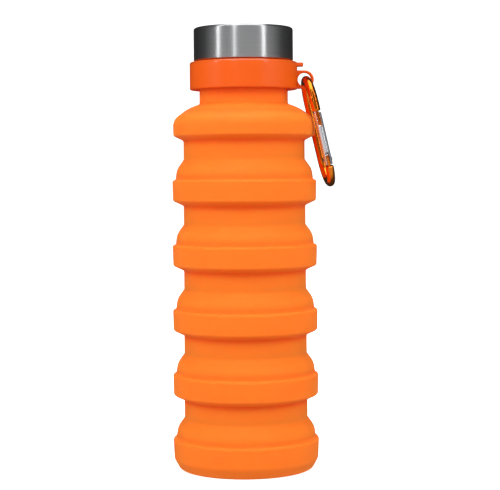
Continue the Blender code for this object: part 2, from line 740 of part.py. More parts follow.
def make_hook(collar):
    """Hangs the hook from the lug: leaning out, and turned a little about its length."""
    hole_x, hole_z = lug_hole_centre()
    hook = add_empty("hook_axis", collar)
    rod_z = hole_z - rod_room() * HOOK_DROP_SHARE
    place = Matrix.Translation((hole_x + rod_room(), HOOK_SHIFT, rod_z))
    lean = Matrix.Rotation(-hook_lean(), 4, "Y")
    face = Matrix.Rotation(HOOK_TWIST - math.pi / 2, 4, "Z") @ Matrix.Rotation(math.pi / 2, 4, "X")
    hook.matrix_local = place @ lean @ face
    make_hook_frame(hook)
    make_gate(hook)


# ============================== build =======================================================
clear_scene()
bottle = new_collection("folding_water_bottle")
cutters = new_collection("cutters")
silicone = finish("silicone", (0.96, 0.2, 0.02), 0.55)
hard_plastic = finish("hard_plastic", (0.85, 0.13, 0.01), 0.3)
gasket_rubber = finish("gasket_rubber", (0.75, 0.75, 0.72), 0.6)
steel = finish("steel", (0.55, 0.56, 0.56), 0.3, 1.0)
anodised = finish("anodised", (0.9, 0.28, 0.03), 0.2, 1.0)
aluminium = finish("aluminium", (0.8, 0.81, 0.84), 0.3, 1.0)

below = make_base_cup()
for ring in range(1, RING_COUNT + 1):
    make_fold_web(ring, below)
    below = make_fold_ring(ring, below)
make_fold_web(RING_COUNT + 1, below)
shoulder = make_shoulder(RING_COUNT + 1, below)
collar_foot_height = SHOULDER_RISE + NECK_SHOWN
collar_part = make_collar(shoulder, collar_foot_height)
mouth_part = make_mouth(shoulder, collar_foot_height)
make_lid(mouth_part)
make_hook(collar_part)
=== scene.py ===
import json
import math

import bmesh
import bpy
import numpy as np
from mathutils import Matrix, Vector


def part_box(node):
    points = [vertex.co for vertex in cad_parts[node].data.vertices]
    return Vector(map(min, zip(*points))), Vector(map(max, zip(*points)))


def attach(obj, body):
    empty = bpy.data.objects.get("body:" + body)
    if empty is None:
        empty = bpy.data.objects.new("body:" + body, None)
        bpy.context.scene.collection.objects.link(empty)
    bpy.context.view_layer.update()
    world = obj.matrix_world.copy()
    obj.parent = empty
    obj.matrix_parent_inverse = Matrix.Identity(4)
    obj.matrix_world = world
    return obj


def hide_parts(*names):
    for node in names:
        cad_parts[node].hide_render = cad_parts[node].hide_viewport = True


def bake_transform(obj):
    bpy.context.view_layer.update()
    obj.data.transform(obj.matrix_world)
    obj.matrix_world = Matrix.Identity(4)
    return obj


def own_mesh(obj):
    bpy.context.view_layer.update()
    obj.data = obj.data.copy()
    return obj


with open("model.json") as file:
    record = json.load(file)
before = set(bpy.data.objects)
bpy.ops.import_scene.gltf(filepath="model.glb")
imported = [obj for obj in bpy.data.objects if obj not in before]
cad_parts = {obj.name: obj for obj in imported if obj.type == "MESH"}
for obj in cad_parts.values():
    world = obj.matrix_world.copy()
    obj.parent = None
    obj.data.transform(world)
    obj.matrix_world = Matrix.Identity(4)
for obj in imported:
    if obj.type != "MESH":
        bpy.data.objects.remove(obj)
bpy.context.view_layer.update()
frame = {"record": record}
joints = {joint["name"]: joint for joint in frame["record"]["behaviour"]["joints"]}
mm = 0.001


class Wire:
    # A socket that takes part in sums: each operator adds its Math node.
    def __init__(self, tree, socket=None):
        self.tree = tree
        self.socket = socket

    def node(self, kind, settings=None, feeds=None, output=0):
        # One node: its settings first, then the value or link of each named socket.
        made = self.tree.nodes.new(kind)
        for name, value in (settings or {}).items():
            if name == "stops":
                self.setStops(made.color_ramp, value)
            else:
                setattr(made, name, value)
        for name, value in (feeds or {}).items():
            self.feed(made.inputs[name], value)
        return Wire(self.tree, made.outputs[output])

    def setStops(self, ramp, stops):
        while len(ramp.elements) < len(stops):
            ramp.elements.new(0.5)
        for element, (place, colour) in zip(ramp.elements, stops):
            element.position = place
            element.color = (*colour, 1)

    def feed(self, slot, value):
        if isinstance(value, Wire):
            self.tree.links.new(value.socket, slot)
        elif hasattr(value, "__len__") and len(value) == 3 and slot.type == "RGBA":
            slot.default_value = (*value, 1)
        else:
            slot.default_value = value

    def maths(self, operation, *values):
        made = self.tree.nodes.new("ShaderNodeMath")
        made.operation = operation
        for slot, value in zip(made.inputs, values):
            self.feed(slot, value)
        return Wire(self.tree, made.outputs[0])

    def __add__(self, other):
        return self.maths("ADD", self, other)

    def __radd__(self, other):
        return self.maths("ADD", other, self)

    def __sub__(self, other):
        return self.maths("SUBTRACT", self, other)

    def __rsub__(self, other):
        return self.maths("SUBTRACT", other, self)

    def __mul__(self, other):
        return self.maths("MULTIPLY", self, other)

    def __rmul__(self, other):
        return self.maths("MULTIPLY", other, self)

    def __truediv__(self, other):
        return self.maths("DIVIDE", self, other)

    def __rtruediv__(self, other):
        return self.maths("DIVIDE", other, self)

    def __pow__(self, other):
        return self.maths("POWER", self, other)


def newFinish(name):
    # An empty material: its shader, and a wire to start sums from.
    made = bpy.data.materials.new(name)
    made.use_nodes = True
    return made, made.node_tree.nodes["Principled BSDF"], Wire(made.node_tree)


def objectPlace(wire):
    # Where a point lies on the object, as a vector.
    return wire.node("ShaderNodeTexCoord", output=3)


def threeNumbers(wire, vector):
    # A vector's x, y and z, as three wires.
    split = wire.node("ShaderNodeSeparateXYZ", feeds={"Vector": vector})
    return [Wire(wire.tree, socket) for socket in split.socket.node.outputs]


def rampBetween(wire, value, start, stop):
    # 0 up to the start value, 1 from the stop value on, and straight between them.
    return wire.node("ShaderNodeMapRange", {}, {"Value": value, "From Min": start, "From Max": stop})


def bellAround(wire, distance):
    # 1 where the distance is 0, fading to both sides: exp(-distance squared).
    return wire.maths("EXPONENT", 0 - distance * distance)


def grain(wire, place, scale, detail=2.0, roughness=0.5):
    settings = {"noise_dimensions": "3D"}
    feeds = {"Vector": place, "Scale": scale, "Detail": detail, "Roughness": roughness}
    return wire.node("ShaderNodeTexNoise", settings, feeds)


def blendColours(wire, factor, first, second):
    settings = {"data_type": "RGBA", "blend_type": "MIX"}
    made = wire.node("ShaderNodeMix", settings, {"Factor": factor})
    mixer = made.socket.node
    wire.feed(mixer.inputs[6], first)
    wire.feed(mixer.inputs[7], second)
    return Wire(wire.tree, mixer.outputs[2])


def setSockets(shader, values):
    for name, value in values.items():
        shader.inputs[name].default_value = value


def raised(wire, height, strength, distance, under=None):
    feeds = {"Height": height, "Strength": strength, "Distance": distance}
    if under:
        feeds["Normal"] = under
    return wire.node("ShaderNodeBump", {}, feeds)


siliconeLook = {
    "deep": (0.88, 0.172, 0.013),
    "bright": (0.94, 0.192, 0.018),
    "roughness": 0.54,
    "cloudScale": 28.0,  # slow changes of tone over the whole body
    "cloudShare": 0.75,
    "cloudDulls": 0.16,
    "grainSize": 0.35 * mm,
    "grainShare": 0.25,
    "grainDulls": 0.2,
    "grainHeight": 0.012 * mm,
    "fineGrain": 2.6,  # a second grain is this many times finer
    "paintedCreaseShade": (0.88, 0.078, 0.004),  # painted shade: deeper and redder along the creases, under the collar and at the ledges' inner corners
    "paintedShadeShare": 0.7,
    "creaseShadeWidth": 1.6 * mm,
    "creaseDrop": 18.4 * mm,  # from the top of a stage's wall down to the crease under it
    "creaseShadeStart": (12 * mm, 24 * mm),  # no painted crease shade below, and full painted crease shade above
    "collarShade": 2.6 * mm,  # how far the shade under the collar reaches
    "ledgeShade": 1.7 * mm,
    "ledgeWidth": 1.2 * mm,
    "ledgeShadeShare": 0.3,
    "sockets": {
        "Sheen Weight": 0.04,
        "Sheen Roughness": 0.45,
        "Sheen Tint": (1.0, 0.55, 0.3, 1),
        "IOR": 1.41,
        "Specular IOR Level": 0.2,
        "Subsurface Weight": 0.4,  # how much light soaks in
        "Subsurface Radius": (1.0, 0.22, 0.06),
        "Subsurface Scale": 3.5 * mm,  # how far the red of it travels
    },
}


def siliconeFinish():
    look = siliconeLook
    made, shader, wire = newFinish("orangeSilicone")
    place = objectPlace(wire)
    height = threeNumbers(wire, place)[2]
    cloud = grain(wire, place, look["cloudScale"], 3.0)
    pores = grain(wire, place, 1 / look["grainSize"], 3.0, 0.6)
    fine = grain(wire, place, look["fineGrain"] / look["grainSize"], 1.0)
    tone = cloud * look["cloudShare"] + pores * look["grainShare"]
    skin = blendColours(wire, tone, look["deep"], look["bright"])
    # Height above or below the nearest crease under a band, one crease to each stage.
    pitch = float(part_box("fold_ring_2")[1][2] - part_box("fold_ring_1")[1][2])
    firstCrease = float(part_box("fold_ring_1")[1][2]) - look["creaseDrop"]
    away = wire.maths("WRAP", height - firstCrease, pitch / 2, -pitch / 2) / look["creaseShadeWidth"]
    # Painted crease shade: a band of darker, redder colour along each crease, faded out towards the
    # bottom.
    creaseShade = bellAround(wire, away) * rampBetween(wire, height, *look["creaseShadeStart"])
    shaded = bellAround(wire, (height - float(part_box("collar_ring")[0][2])) / look["collarShade"])
    # The inner corner of each ledge is shaded too, a little.
    firstLedge = float(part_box("base_cup")[1][2]) - bodyShape["wallTop"] + look["ledgeShade"]
    aboveLedge = wire.maths("WRAP", height - firstLedge, pitch / 2, -pitch / 2) / look["ledgeWidth"]
    ledges = bellAround(wire, aboveLedge) * look["ledgeShadeShare"]
    # The share of painted shade is the strongest of the crease, collar and ledge masks; the base colour is
    # blended towards the painted shade colour by it.
    share = wire.maths("MAXIMUM", creaseShade, shaded) * look["paintedShadeShare"]
    share = wire.maths("MAXIMUM", share, ledges)
    dullness = look["roughness"] + (cloud - 0.5) * look["cloudDulls"] + (pores - 0.5) * look["grainDulls"]
    low = raised(wire, pores, 0.55, look["grainHeight"])
    wire.feed(shader.inputs["Base Color"], blendColours(wire, share, skin, look["paintedCreaseShade"]))
    wire.feed(shader.inputs["Roughness"], dullness)
    wire.feed(shader.inputs["Normal"], raised(wire, fine, 0.35, look["grainHeight"], low))
    setSockets(shader, look["sockets"])
    return made


plasticLook = {
    "deep": (0.68, 0.083, 0.002),
    "bright": (0.73, 0.092, 0.003),
    "roughness": 0.34,
    "cloudScale": 45.0,
    "scuffScale": 420.0,
    "scuffDulls": 0.08,
    "grainSize": 0.6 * mm,
    "grainHeight": 0.006 * mm,
    "edgeGloss": 1.0,  # the collar's rounded top edge is polished
    "edgeDrop": (1.9 * mm, 1.2 * mm),  # the polish comes in between these depths under the top
    "sockets": {"Coat Roughness": 0.1, "IOR": 1.49, "Specular IOR Level": 0.22},
}


def plasticFinish():
    look = plasticLook
    made, shader, wire = newFinish("orangePlastic")
    place = objectPlace(wire)
    height = threeNumbers(wire, place)[2]
    cloud = grain(wire, place, look["cloudScale"], 3.0)
    skin = grain(wire, place, 1 / look["grainSize"], 3.0, 0.6)
    scuff = grain(wire, place, look["scuffScale"], 5.0, 0.7)
    top = float(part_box("collar_ring")[1][2])
    edge = rampBetween(wire, height, top - look["edgeDrop"][0], top - look["edgeDrop"][1])
    wire.feed(shader.inputs["Base Color"], blendColours(wire, cloud, look["deep"], look["bright"]))
    wire.feed(shader.inputs["Roughness"], look["roughness"] + (scuff - 0.5) * look["scuffDulls"])
    wire.feed(shader.inputs["Coat Weight"], edge * look["edgeGloss"])
    wire.feed(shader.inputs["Normal"], raised(wire, skin * 0.7 + scuff * 0.3, 0.12, look["grainHeight"]))
    setSockets(shader, look["sockets"])
    return made


steelLook = {
    "dark": (0.52, 0.53, 0.54),
    "light": (0.62, 0.63, 0.635),
    "roughness": 0.31,
    "lineSize": 0.11 * mm,
    "lineHeight": 0.0004 * mm,
    "lineScale": 70,  # how fast the fine lines change along the turn
    "bandScale": 25,
    "bandFineness": 0.12,  # of the broad bands across the turn, beside the fine lines
    "dulls": 0.16,
    "toneSpan": (0.3, 0.7),
    "sockets": {"Metallic": 1.0, "Anisotropic": 0.9, "Anisotropic Rotation": 0.25},
}


def brushedSteelFinish():
    # Lines run round the axis: the pattern is stretched along the turn and fine across it,
    # read from radius plus height, so that it goes on over the edge onto the flat top.
    look = steelLook
    made, shader, wire = newFinish("brushedSteel")
    x, y, z = threeNumbers(wire, objectPlace(wire))
    radius = (x * x + y * y) ** 0.5
    across = (radius + z) / look["lineSize"]
    fine, slow = look["lineScale"], look["bandScale"]
    stretched = wire.node("ShaderNodeCombineXYZ", {}, {"X": x * fine, "Y": y * fine, "Z": across})
    lines = grain(wire, stretched, 1.0, 4.0, 0.65)
    broad = wire.node("ShaderNodeCombineXYZ", {},
                      {"X": x * slow, "Y": y * slow, "Z": across * look["bandFineness"]})
    bands = grain(wire, broad, 1.0, 3.0)
    tone = lines * 0.7 + bands * 0.3
    spread = rampBetween(wire, tone, *look["toneSpan"])
    wire.feed(shader.inputs["Base Color"], blendColours(wire, spread, look["dark"], look["light"]))
    wire.feed(shader.inputs["Roughness"], look["roughness"] + (tone - 0.5) * look["dulls"])
    wire.feed(shader.inputs["Normal"], raised(wire, lines, 0.4, look["lineHeight"]))
    setSockets(shader, look["sockets"])
    return made


anodisedLook = {
    "red": (0.86, 0.16, 0.010),
    "gold": (0.98, 0.31, 0.03),
    "toneSpan": (0.3, 0.7),
    "roughness": 0.15,
    "cloudScale": 60.0,
    "scratchSize": 1.4 * mm,
    "scratchHeight": 0.008 * mm,
    "scratchDulls": 0.1,
}


def anodisedFinish():
    look = anodisedLook
    made, shader, wire = newFinish("orangeAnodised")
    place = objectPlace(wire)
    cloud = grain(wire, place, look["cloudScale"], 2.0)
    scratches = grain(wire, place, 1 / look["scratchSize"], 2.0, 0.6)
    spread = rampBetween(wire, cloud, *look["toneSpan"])
    wire.feed(shader.inputs["Base Color"], blendColours(wire, spread, look["red"], look["gold"]))
    wire.feed(shader.inputs["Roughness"], look["roughness"] + (scratches - 0.5) * look["scratchDulls"])
    wire.feed(shader.inputs["Normal"], raised(wire, scratches, 0.03, look["scratchHeight"]))
    setSockets(shader, {"Metallic": 1.0})
    return made


linedLook = {
    "gate": {
        "dark": (0.80, 0.815, 0.85),
        "light": (0.88, 0.895, 0.93),
        "roughness": 0.27,
        "metallic": 0.9,
    },
    "pins": {
        "dark": (0.26, 0.26, 0.26),
        "light": (0.42, 0.42, 0.41),
        "roughness": 0.3,
        "metallic": 1.0,
    },
    "gasket": {
        "dark": (0.66, 0.66, 0.63),
        "light": (0.8, 0.8, 0.77),
        "roughness": 0.55,
        "metallic": 0.0,
    },
    "lineScale": 2400.0,
    "lineHeight": 0.002 * mm,
    "lineStretch": 0.03,  # along a line the pattern is read this much slower
    "cloudScale": 260.0,
    "dulls": 0.12,
}


def linedFinish(name, kind, along):
    # Faint lines along a direction: the pattern is read finely across it and slowly along it.
    look, lined = linedLook[kind], linedLook
    made, shader, wire = newFinish(name)
    place = objectPlace(wire)
    slow = wire.node("ShaderNodeVectorMath", {"operation": "DOT_PRODUCT"}, {0: place, 1: along}, 1)
    lift = wire.node("ShaderNodeCombineXYZ", {},
                     {"X": slow * along[0], "Y": slow * along[1], "Z": slow * along[2]})
    side = wire.node("ShaderNodeVectorMath", {"operation": "SUBTRACT"}, {0: place, 1: lift})
    pace = {0: lift, "Scale": lined["lineStretch"]}
    near = wire.node("ShaderNodeVectorMath", {"operation": "SCALE"}, pace)
    stretched = wire.node("ShaderNodeVectorMath", {"operation": "ADD"}, {0: side, 1: near})
    lines = grain(wire, stretched, lined["lineScale"], 2.0)
    cloud = grain(wire, place, lined["cloudScale"], 2.0)
    tone = lines * 0.6 + cloud * 0.4
    wire.feed(shader.inputs["Base Color"], blendColours(wire, tone, look["dark"], look["light"]))
    wire.feed(shader.inputs["Roughness"], look["roughness"] + (tone - 0.5) * lined["dulls"])
    wire.feed(shader.inputs["Normal"], raised(wire, lines, 0.03, lined["lineHeight"]))
    setSockets(shader, {"Metallic": look["metallic"]})
    return made


def roundedRun(corners, steps=8):
    # Each corner (a, b, radius) becomes an arc that touches both of its straight runs.
    points = []
    count = len(corners)
    for i, corner in enumerate(corners):
        here = np.array(corner[:2], float)
        if len(corner) == 2 or corner[2] <= 0:
            points.append(here[None])
            continue
        before = np.array(corners[i - 1][:2], float) - here
        after = np.array(corners[(i + 1) % count][:2], float) - here
        longBefore, longAfter = np.linalg.norm(before), np.linalg.norm(after)
        before, after = before / longBefore, after / longAfter
        half = math.acos(max(-1.0, min(1.0, float(before @ after)))) / 2
        reach = min(corner[2] / math.tan(half), 0.49 * longBefore, 0.49 * longAfter)
        radius = reach * math.tan(half)
        middle = (before + after) / np.linalg.norm(before + after)
        centre = here + middle * radius / math.sin(half)
        first, last = here + before * reach - centre, here + after * reach - centre
        start = math.atan2(first[1], first[0])
        turn = (math.atan2(last[1], last[0]) - start + math.pi) % math.tau - math.pi
        angles = start + turn * np.linspace(0, 1, steps + 1)
        points.append(centre + radius * np.stack([np.cos(angles), np.sin(angles)], 1))
    run = np.concatenate(points)
    keep = np.ones(len(run), bool)
    keep[1:] = np.linalg.norm(np.diff(run, axis=0), axis=1) > 1e-7
    return run[keep]


def denser(run, step):
    # Adds points so that no straight run between two points is longer than the step.
    lengths = np.linalg.norm(np.diff(run, axis=0), axis=1)
    travelled = np.concatenate([[0], np.cumsum(lengths)])
    shares = [np.linspace(a, b, max(2, int(math.ceil((b - a) / step)) + 1))[:-1]
              for a, b in zip(travelled[:-1], travelled[1:])]
    stops = np.concatenate(shares + [travelled[-1:]])
    return np.stack([np.interp(stops, travelled, run[:, k]) for k in range(2)], 1)


def gridFaces(rows, columns, wrapRows, wrapColumns, first=0):
    # Four-sided faces between neighbours of a grid, row by row.
    row = np.arange(rows if wrapRows else rows - 1)[:, None]
    column = np.arange(columns if wrapColumns else columns - 1)[None]
    nextRow, nextColumn = (row + 1) % rows, (column + 1) % columns
    quads = np.stack([row * columns + column, row * columns + nextColumn,
                      nextRow * columns + nextColumn, nextRow * columns + column], 2)
    return quads.reshape(-1, 4) + first


def turnedSurface(run, closed=False, sides=192):
    # x = radius cos(turn), y = radius sin(turn), z = height, for each point of the run
    # (radius, height) and each turn. A run that starts or ends on the axis gets one pole there.
    poleFirst = not closed and run[0, 0] < 1e-9
    poleLast = not closed and run[-1, 0] < 1e-9
    body = run[(1 if poleFirst else 0):(len(run) - 1 if poleLast else len(run))]
    turn = np.arange(sides) * math.tau / sides
    points = np.stack([body[:, :1] * np.cos(turn), body[:, :1] * np.sin(turn),
                       np.repeat(body[:, 1:], sides, 1)], 2).reshape(-1, 3)
    faces = gridFaces(len(body), sides, closed, True).tolist()
    around = np.arange(sides)
    beside = (around + 1) % sides
    if poleFirst:
        faces += np.stack([np.full(sides, len(points)), beside, around], 1).tolist()
        points = np.concatenate([points, [[0, 0, run[0, 1]]]])
    if poleLast:
        last = (len(body) - 1) * sides
        faces += np.stack([np.full(sides, len(points)), last + around, last + beside], 1).tolist()
        points = np.concatenate([points, [[0, 0, run[-1, 1]]]])
    return points, faces


def barSurface(path, radius, upright, sides=32, endRound=1.0):
    # A round bar: point = path + radius (side cos(turn) + cross sin(turn)), where side is
    # at right angles to the path and to the upright direction. Both ends are domed.
    path = np.asarray(path, float)
    radius = np.broadcast_to(np.asarray(radius, float), len(path)).copy()
    along = np.gradient(path, axis=0)
    along /= np.linalg.norm(along, axis=1)[:, None]
    dome = np.linspace(0, math.pi / 2, 9)[1:-1]
    headPath = path[0] - along[0] * radius[0] * endRound * np.sin(dome[::-1])[:, None]
    tailPath = path[-1] + along[-1] * radius[-1] * endRound * np.sin(dome)[:, None]
    first = path[0] - along[0] * radius[0] * endRound
    last = path[-1] + along[-1] * radius[-1] * endRound
    allPath = np.concatenate([headPath, path, tailPath])
    rows = len(dome)
    allAlong = np.concatenate([np.repeat(along[:1], rows, 0), along, np.repeat(along[-1:], rows, 0)])
    allRadius = np.concatenate([radius[0] * np.cos(dome[::-1]), radius, radius[-1] * np.cos(dome)])
    side = np.cross(np.asarray(upright, float), allAlong)
    side /= np.linalg.norm(side, axis=1)[:, None]
    cross = np.cross(allAlong, side)
    turn = np.arange(sides) * math.tau / sides
    ring = side[:, None] * np.cos(turn)[None, :, None] + cross[:, None] * np.sin(turn)[None, :, None]
    points = (allPath[:, None] + allRadius[:, None, None] * ring).reshape(-1, 3)
    faces = gridFaces(len(allPath), sides, False, True).tolist()
    around = np.arange(sides)
    beside = (around + 1) % sides
    lastRow = (len(allPath) - 1) * sides
    faces += np.stack([np.full(sides, len(points)), beside, around], 1).tolist()
    faces += np.stack([np.full(sides, len(points) + 1), lastRow + around, lastRow + beside], 1).tolist()
    return np.concatenate([points, [first, last]]), faces


def slabSurface(outline, thickness, edge, steps=4):
    # A flat plate in its own XY plane: the outline is drawn in by edge times (1 - cos) while
    # its height goes up by edge times sin, which rounds both rims; the middle is one face.
    outline = np.asarray(outline, float)
    ahead = np.roll(outline, -1, 0) - outline
    behind = outline - np.roll(outline, 1, 0)
    ahead /= np.linalg.norm(ahead, axis=1)[:, None]
    behind /= np.linalg.norm(behind, axis=1)[:, None]
    normal = ahead + behind
    normal = np.stack([normal[:, 1], -normal[:, 0]], 1)
    normal /= np.linalg.norm(normal, axis=1)[:, None]
    bend = np.linspace(0, math.pi / 2, steps + 1)
    inset = edge * (1 - np.cos(bend))
    rise = thickness / 2 - edge + edge * np.sin(bend)
    inset = np.concatenate([inset[::-1], inset])
    rise = np.concatenate([-rise[::-1], rise])
    flat = outline[None] - normal[None] * inset[:, None, None]
    count = len(outline)
    points = np.concatenate([flat, np.repeat(rise[:, None, None], count, 1)], 2).reshape(-1, 3)
    faces = gridFaces(len(rise), count, False, True).tolist()
    faces.append(list(range(count))[::-1])
    faces.append([(len(rise) - 1) * count + k for k in range(count)])
    return points, faces


def placed(surface, matrix):
    points, faces = surface
    matrix = np.array(matrix)
    return points @ matrix[:3, :3].T + matrix[:3, 3], faces


def makePiece(name, surfaces, finish, sharp=40):
    # One mesh of several surfaces, smooth except where faces meet at more than the sharp angle.
    points, faces, first = [], [], 0
    for surface in surfaces:
        points.append(surface[0])
        faces += [[first + k for k in face] for face in surface[1]]
        first += len(surface[0])
    mesh = bpy.data.meshes.new(name)
    mesh.from_pydata(np.concatenate(points).tolist(), [], faces)
    mesh.shade_smooth()
    mesh.set_sharp_from_angle(angle=math.radians(sharp))
    mesh.materials.append(finish)
    made = bpy.data.objects.new(name, mesh)
    bpy.context.scene.collection.objects.link(made)
    return made


def settle(piece, body, slot, *nodes):
    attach(piece, body)
    for node in nodes:
        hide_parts(node)


bodyShape = {
    "sides": 192,
    "floor": 3.0 * mm,
    "baseInset": 3.4 * mm,
    "baseRound": 2.6 * mm,
    "baseDraft": 0.4 * mm,
    "baseRise": 5.2 * mm,
    "baseMargin": 0.03 * mm,  # the solids' boxes fall this far short of the real radii
    "ringMargin": 0.012 * mm,
    "wallTop": 5.25 * mm,  # a stage's solid ends this far above its ledge
    "topRound": 1.1 * mm,  # outer edge of each ledge
    "ledgeFall": 0.6 * mm,  # how much lower a ledge's outer edge is
    "ledgeWidth": 1.6 * mm,
    "ledgeCorner": 0.4 * mm,
    "lipInset": 2.25 * mm,
    "lipRound": 9.0 * mm,  # where a cup wall turns into a fold
    "wallRise": 5.4 * mm,
    "foldRise": 10.2 * mm,
    "creaseRound": 1.5 * mm,
    "tubeInset": 5.55 * mm,  # the narrow tube under a stage, in from its outside
    "tubeDrop": 12.9 * mm,
    "underRound": 1.2 * mm,
    "footDraft": 0.2 * mm,
    "footDrop": 10.4 * mm,
    "footRound": 1.3 * mm,
    "cupWall": 3.7 * mm,
    "cupDrop": 3.0 * mm,
    "cupFoot": 9.4 * mm,
    "lipWall": 3.35 * mm,
    "lipRise": 4.9 * mm,
    "innerRound": 2 * mm,
    "creaseWall": 1.2 * mm,
    "creaseRise": 10.6 * mm,
    "tubeWall": 1.8 * mm,
    "tubeRise": 13.0 * mm,
    "tubeFoot": 11.3 * mm,
    "cutLow": 2.5 * mm,  # a fold's skin starts this far above its ledge
    "cutHigh": 11.7 * mm,
    "blendEarly": 0.3 * mm,  # a little past the wall's top and the fold's
    "blendLate": 0.2 * mm,
    "steps": {"outside": 1.6 * mm, "inside": 2.5 * mm, "foldOutside": 0.45 * mm, "foldInside": 0.6 * mm},
}

shoulderShape = {
    "inset": 0.31 * mm,  # room for the opened gate
    "wall": 2.9 * mm,
    "sideDrop": 2.4 * mm,
    "sideRound": 6.5 * mm,
    "sideWall": 2.3 * mm,
    "innerDrop": 3.5 * mm,
    "innerRound": 4.2 * mm,
    "crownShift": 1 * mm,
    "crownDrop": 2.1 * mm,
    "crownRound": 22 * mm,
    "crownInnerDrop": 4.4 * mm,
    "neck": 22.15 * mm,  # radius
    "neckRise": 5.4 * mm,
    "neckRound": 0.9 * mm,
    "neckWall": 1.95 * mm,
    "neckInnerDrop": 2.3 * mm,
    "neckInnerRound": 1.5 * mm,
    "beadHeight": 4.0 * mm,  # the neck's bead, which the collar hides
    "beadWidth": 2.4 * mm,
    "beadTopWidth": 1.9 * mm,
    "beadCorner": 0.5 * mm,
}


def stageSizes():
    # Outer radius and ledge height of each stage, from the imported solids' boxes.
    shape = bodyShape
    nodes = ["base_cup"] + [f"fold_ring_{i}" for i in range(1, 5)]
    boxes = [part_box(node) for node in nodes]
    ledges = [float(box[1][2]) - shape["wallTop"] for box in boxes]
    pitch = ledges[1] - ledges[0]
    radii = [float(boxes[0][1][0]) + shape["baseMargin"]]
    radii += [float(box[1][0]) + shape["ringMargin"] for box in boxes[1:]]
    step = radii[1] - radii[2]
    return radii + [radii[-1] - step], ledges + [ledges[-1] + pitch]


def stageRuns(low, radii, ledges):
    # Corners of the outer and the inner side, from one stage's ledge to the next stage's foot.
    shape, isTop = bodyShape, low == 4
    radius, ledge = radii[low], ledges[low]
    tube = radii[low + 1] - shape["tubeInset"]
    nextLedge = ledges[low + 1]
    nextRadius = radii[low + 1] - (shoulderShape["inset"] if isTop else 0)
    outer = [
        (radius, ledge - shape["ledgeFall"] / 2, shape["topRound"]),
        (radius - shape["ledgeWidth"], ledge + shape["ledgeFall"] / 2, shape["ledgeCorner"]),
        (radius - shape["lipInset"], ledge + shape["wallRise"], shape["lipRound"]),
        (tube, ledge + shape["foldRise"], shape["creaseRound"]),
        (tube, nextLedge - shape["tubeDrop"], shape["underRound"]),
        (nextRadius - shape["footDraft"], nextLedge - shape["footDrop"], shape["footRound"]),
    ]
    nextWall = shoulderShape["wall"] if isTop else shape["cupWall"]
    inner = [
        (radius - shape["cupWall"], ledge - shape["cupDrop"], shape["innerRound"]),
        (radius - shape["lipWall"], ledge + shape["lipRise"], shape["innerRound"]),
        (tube - shape["creaseWall"], ledge + shape["creaseRise"], 1.2 * mm),
        (tube - shape["tubeWall"], ledge + shape["tubeRise"], 1.0 * mm),
        (tube - shape["tubeWall"], nextLedge - shape["tubeFoot"], 1.5 * mm),
        (nextRadius - nextWall, nextLedge - shape["cupFoot"], 1.5 * mm),
    ]
    return outer, inner


def shoulderRuns(radius, ledge):
    # Corners of the outer and the inner side, from the shoulder's side up to the neck's top.
    shape = shoulderShape
    side = radius - shape["inset"]
    root = ledge + shape["neckRise"]
    top = float(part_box("shoulder_neck")[1][2])
    neck = shape["neck"]
    crown = (neck + side) / 2 - shape["crownShift"]
    outer = [
        (side, ledge - shape["sideDrop"], shape["sideRound"]),
        (crown, root - shape["crownDrop"], shape["crownRound"]),
        (neck, root, shape["neckRound"]),
        (neck, top - shape["beadHeight"]),
        (neck + shape["beadWidth"], top - shape["beadHeight"]),
        (neck + shape["beadWidth"], top - shape["beadCorner"]),
        (neck + shape["beadTopWidth"], top),
    ]
    inner = [
        (side - shape["sideWall"], ledge - shape["innerDrop"], shape["innerRound"]),
        (crown, root - shape["crownInnerDrop"], shape["crownRound"]),
        (neck - shape["neckWall"], root - shape["neckInnerDrop"], shape["neckInnerRound"]),
        (neck - shape["neckWall"], top),
    ]
    return outer, inner


def bodyRuns():
    # The whole outer side and the whole inner side, both from the bottom up to the neck's top.
    shape = bodyShape
    radii, ledges = stageSizes()
    outer = [
        (0, 0),
        (radii[0] - shape["baseInset"], 0, shape["baseRound"]),
        (radii[0] - shape["baseDraft"], shape["baseRise"], shape["baseRise"]),
    ]
    inner = [(0, shape["floor"]), (radii[0] - shape["cupWall"], shape["floor"], shape["baseRise"])]
    parts = [stageRuns(low, radii, ledges) for low in range(5)] + [shoulderRuns(radii[5], ledges[5])]
    for outerPart, innerPart in parts:
        outer += outerPart
        inner += innerPart
    return roundedRun(outer), roundedRun(inner), ledges


def between(run, low, high):
    # The part of a rising run between two heights, with a point made at each of them.
    travelled = np.concatenate([[0], np.cumsum(np.linalg.norm(np.diff(run, axis=0), axis=1))])
    rising = run[:, 1] + np.arange(len(run)) * 1e-10
    start, stop = np.interp([low, high], rising, travelled)
    inside = travelled[(travelled > start + 1e-8) & (travelled < stop - 1e-8)]
    stops = np.concatenate([[start], inside, [stop]])
    return np.stack([np.interp(stops, travelled, run[:, k]) for k in range(2)], 1)


